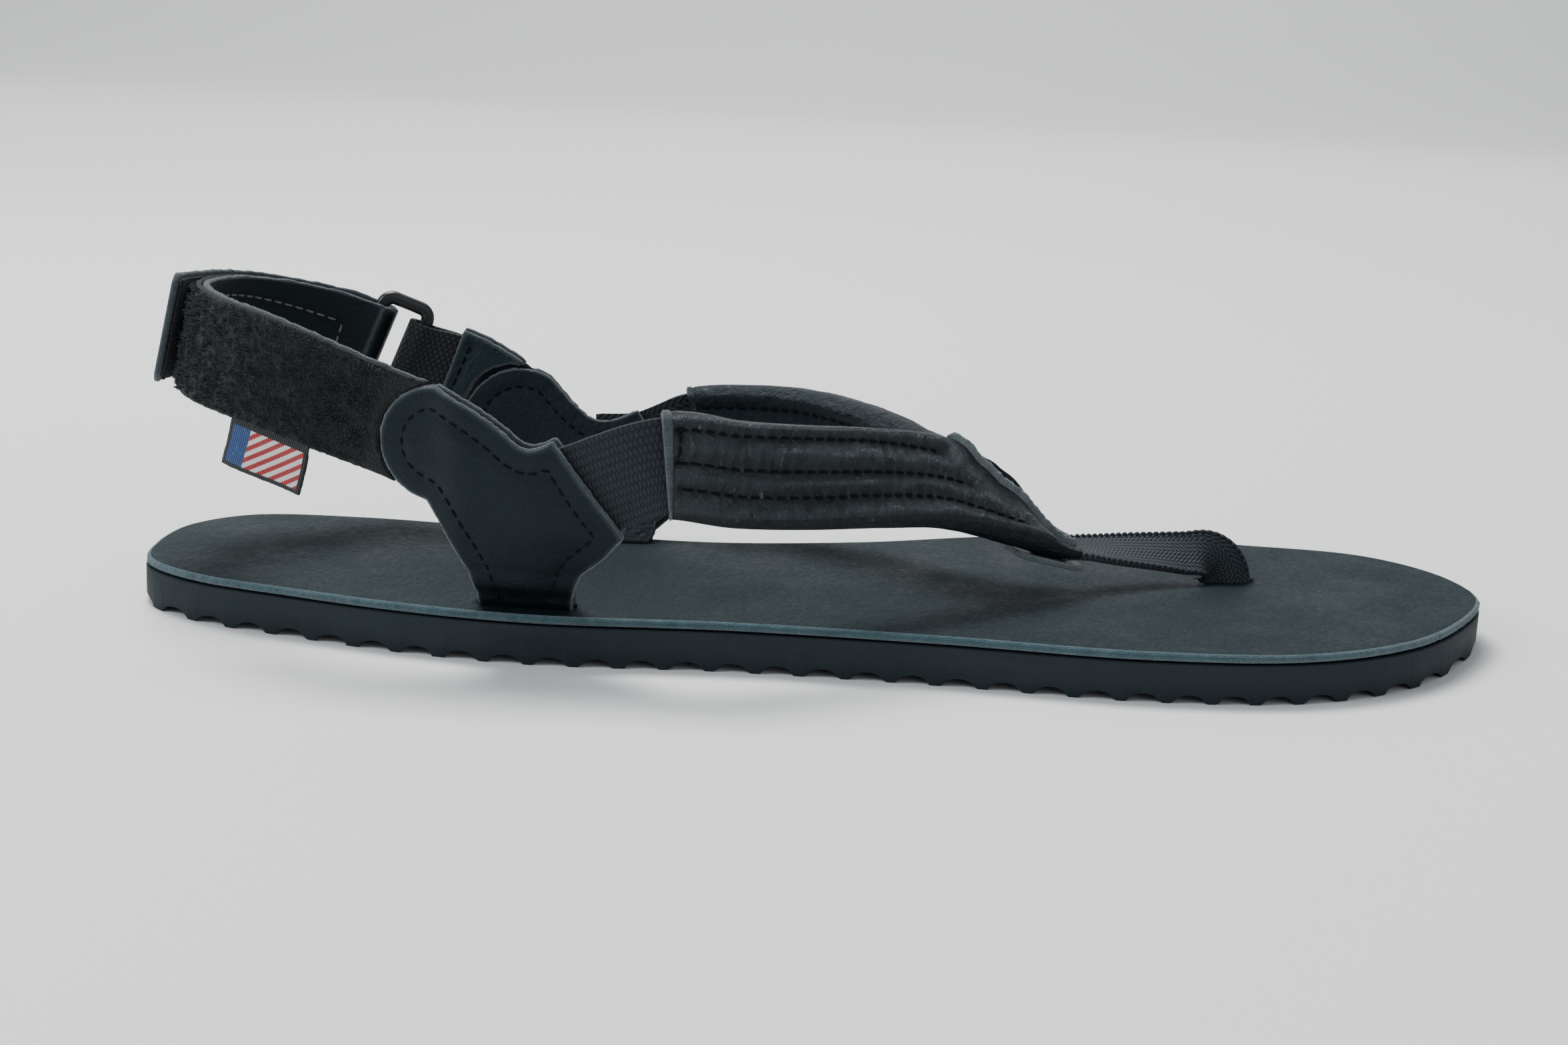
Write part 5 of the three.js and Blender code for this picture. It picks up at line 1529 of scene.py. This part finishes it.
STOP_ROOF = 4.2
turn = math.tan(TOE_SLOT_TURN)
toe_route = ribbon_route(
    [lifted(46, -3, 7.9), lifted(52, -0.5, 7.7), lifted(57.5, 2.5, 7), lifted(67, 7, 6.1),
     lifted(75.2, 9.6, 5.5), lifted(80.9, 11, 5.2), lifted(84, 11.9, 2.9),
     (*TOE_SLOT, BED_TOP - 1), (*TOE_SLOT, STOP_ROOF)],
    [(0, 0.99, 0.14), (0, 0.99, 0.14), (-0.05, 0.95, 0.27), (0.2, 0.88, 0.42), (0.43, 0.7, 0.53),
     (0.7, 0.42, 0.5), (0.96, 0.08, 0.2), (1, turn, 0), (1, turn, 0)],
)
toe_length = toe_route.share(1.0)
twill_cloth = woven_cloth("twill_cloth", (0.008, 0.011, 0.014), (0.045, 0.056, 0.065), rib=0.9,
                          pick=1.0, depth=0.22, zigzag=2.5)
half_toe = 5.0
toe_webbing = cut_layer(
    "toe_webbing_tape", oblong(0, toe_length, -half_toe, half_toe), (0.5, 0.5), toe_route,
    -WEB_FACE, WEB_FACE, twill_cloth, soften=0.35, fray=0.05,
)
settle(toe_webbing, "sole", "webbing", "toe_webbing")
selvages = [np.array([(0.6, y), (toe_length - 6, y)]) for y in (-half_toe + 0.35, half_toe - 0.35)]
selvage_thread = spun_thread("selvage_thread", (0.012, 0.015, 0.018), (0.05, 0.06, 0.068))
settle(sew("toe_webbing_selvages", selvages, toe_route, WEBBING / 2 - 0.1, selvage_thread,
           pitch=1.45, stitch=1.3, thick=0.75), "sole", "webbing")

# --- Studio ---
# A pale floor that curves up into a backdrop, with a lamp of its own on it. Daylight from the left
# and soft lamps light the sandal, and the camera stands level with its outer side.

SWEEP_START, SWEEP_RADIUS, SWEEP_HALF = 3.0, 2.0, 9.0
SWEEP_FRONT, SWEEP_TOP = -6.0, 7.0
floor_mesh = bpy.data.meshes.new("floor")
sweep = [(SWEEP_FRONT, 0.0)] + [
    (SWEEP_START + SWEEP_RADIUS * math.sin(a), SWEEP_RADIUS * (1 - math.cos(a)))
    for a in np.linspace(0, math.pi / 2, 17)
] + [(SWEEP_START + SWEEP_RADIUS, SWEEP_TOP)]
floor_mesh.from_pydata(
    [(x, y, height) for y, height in sweep for x in (-SWEEP_HALF, SWEEP_HALF)], [],
    [(2 * k, 2 * k + 1, 2 * k + 3, 2 * k + 2) for k in range(len(sweep) - 1)])
floor_mesh.shade_smooth()
floor = bpy.data.objects.new("floor", floor_mesh)
bpy.context.collection.objects.link(floor)
floor_paint = new_finish("floor_paint", (0.8, 0.8, 0.79), 0.9)
floor_mesh.materials.append(floor_paint)
floor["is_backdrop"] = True

room = bpy.data.worlds.new("room")
room.use_nodes = True
sky = room.node_tree.nodes["Background"]
sky.inputs["Color"].default_value = (0.86, 0.92, 1.0, 1)
sky.inputs["Strength"].default_value = 0.45
bpy.context.scene.world = room


def softbox(name, place, towards, size, power, colour=(1, 1, 1)):
    """A round lamp this wide, in metres, aimed at a place."""
    lamp = bpy.data.lights.new(name, "AREA")
    lamp.shape, lamp.size, lamp.energy, lamp.color = "DISK", size, power, colour
    stand = bpy.data.objects.new(name, lamp)
    stand.location = place
    stand.rotation_euler = (Vector(towards) - Vector(place)).to_track_quat("-Z", "Y").to_euler()
    bpy.context.collection.objects.link(stand)


softbox("overhead", (-0.35, 0.45, 1.05), (0, 0, 0), 0.45, 9)
softbox("left_window", (-0.9, -0.45, 0.65), (0, 0, 0.02), 0.5, 6, (0.92, 0.96, 1))
softbox("front_fill", (0.55, -0.95, 0.45), (0, 0, 0.02), 0.9, 1.5)
softbox("backdrop_light", (0, 1.6, 2.6), (0, 4.6, 0.3), 2.0, 90)

daylight = bpy.data.lights.new("daylight", "SUN")
daylight.energy, daylight.angle, daylight.color = 2.0, 0.5, (1, 0.99, 0.97)
sky_stand = bpy.data.objects.new("daylight", daylight)
sky_stand.rotation_euler = Vector((0.25, -0.45, -1)).to_track_quat("-Z", "Y").to_euler()
bpy.context.collection.objects.link(sky_stand)

CAMERA_PLACE, CAMERA_TILT, CAMERA_ROLL = Vector((-8.5256, -435.303, 117.343)), 12.617, 2.803
lens = bpy.data.cameras.new("camera")
lens.lens, lens.sensor_width = 50, 36
lens.clip_start, lens.clip_end = 0.01, 20
camera = bpy.data.objects.new("camera", lens)
bpy.context.collection.objects.link(camera)
tilt, roll = math.radians(CAMERA_TILT), math.radians(CAMERA_ROLL)
back_axis = Vector((0, -math.cos(tilt), math.sin(tilt)))
right_axis = Vector((1, 0, 0))
up_axis = back_axis.cross(right_axis)
rolled_right = right_axis * math.cos(roll) + up_axis * math.sin(roll)
rolled_up = up_axis * math.cos(roll) - right_axis * math.sin(roll)
place = (CAMERA_PLACE + Vector(OFFSET)) * MM
camera.matrix_world = Matrix((
    *((rolled_right[k], rolled_up[k], back_axis[k], place[k]) for k in range(3)), (0, 0, 0, 1),
))
bpy.context.scene.camera = camera

low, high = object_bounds()
{"cad": [list(cad_low), list(cad_high)], "visual": [list(low), list(high)]}
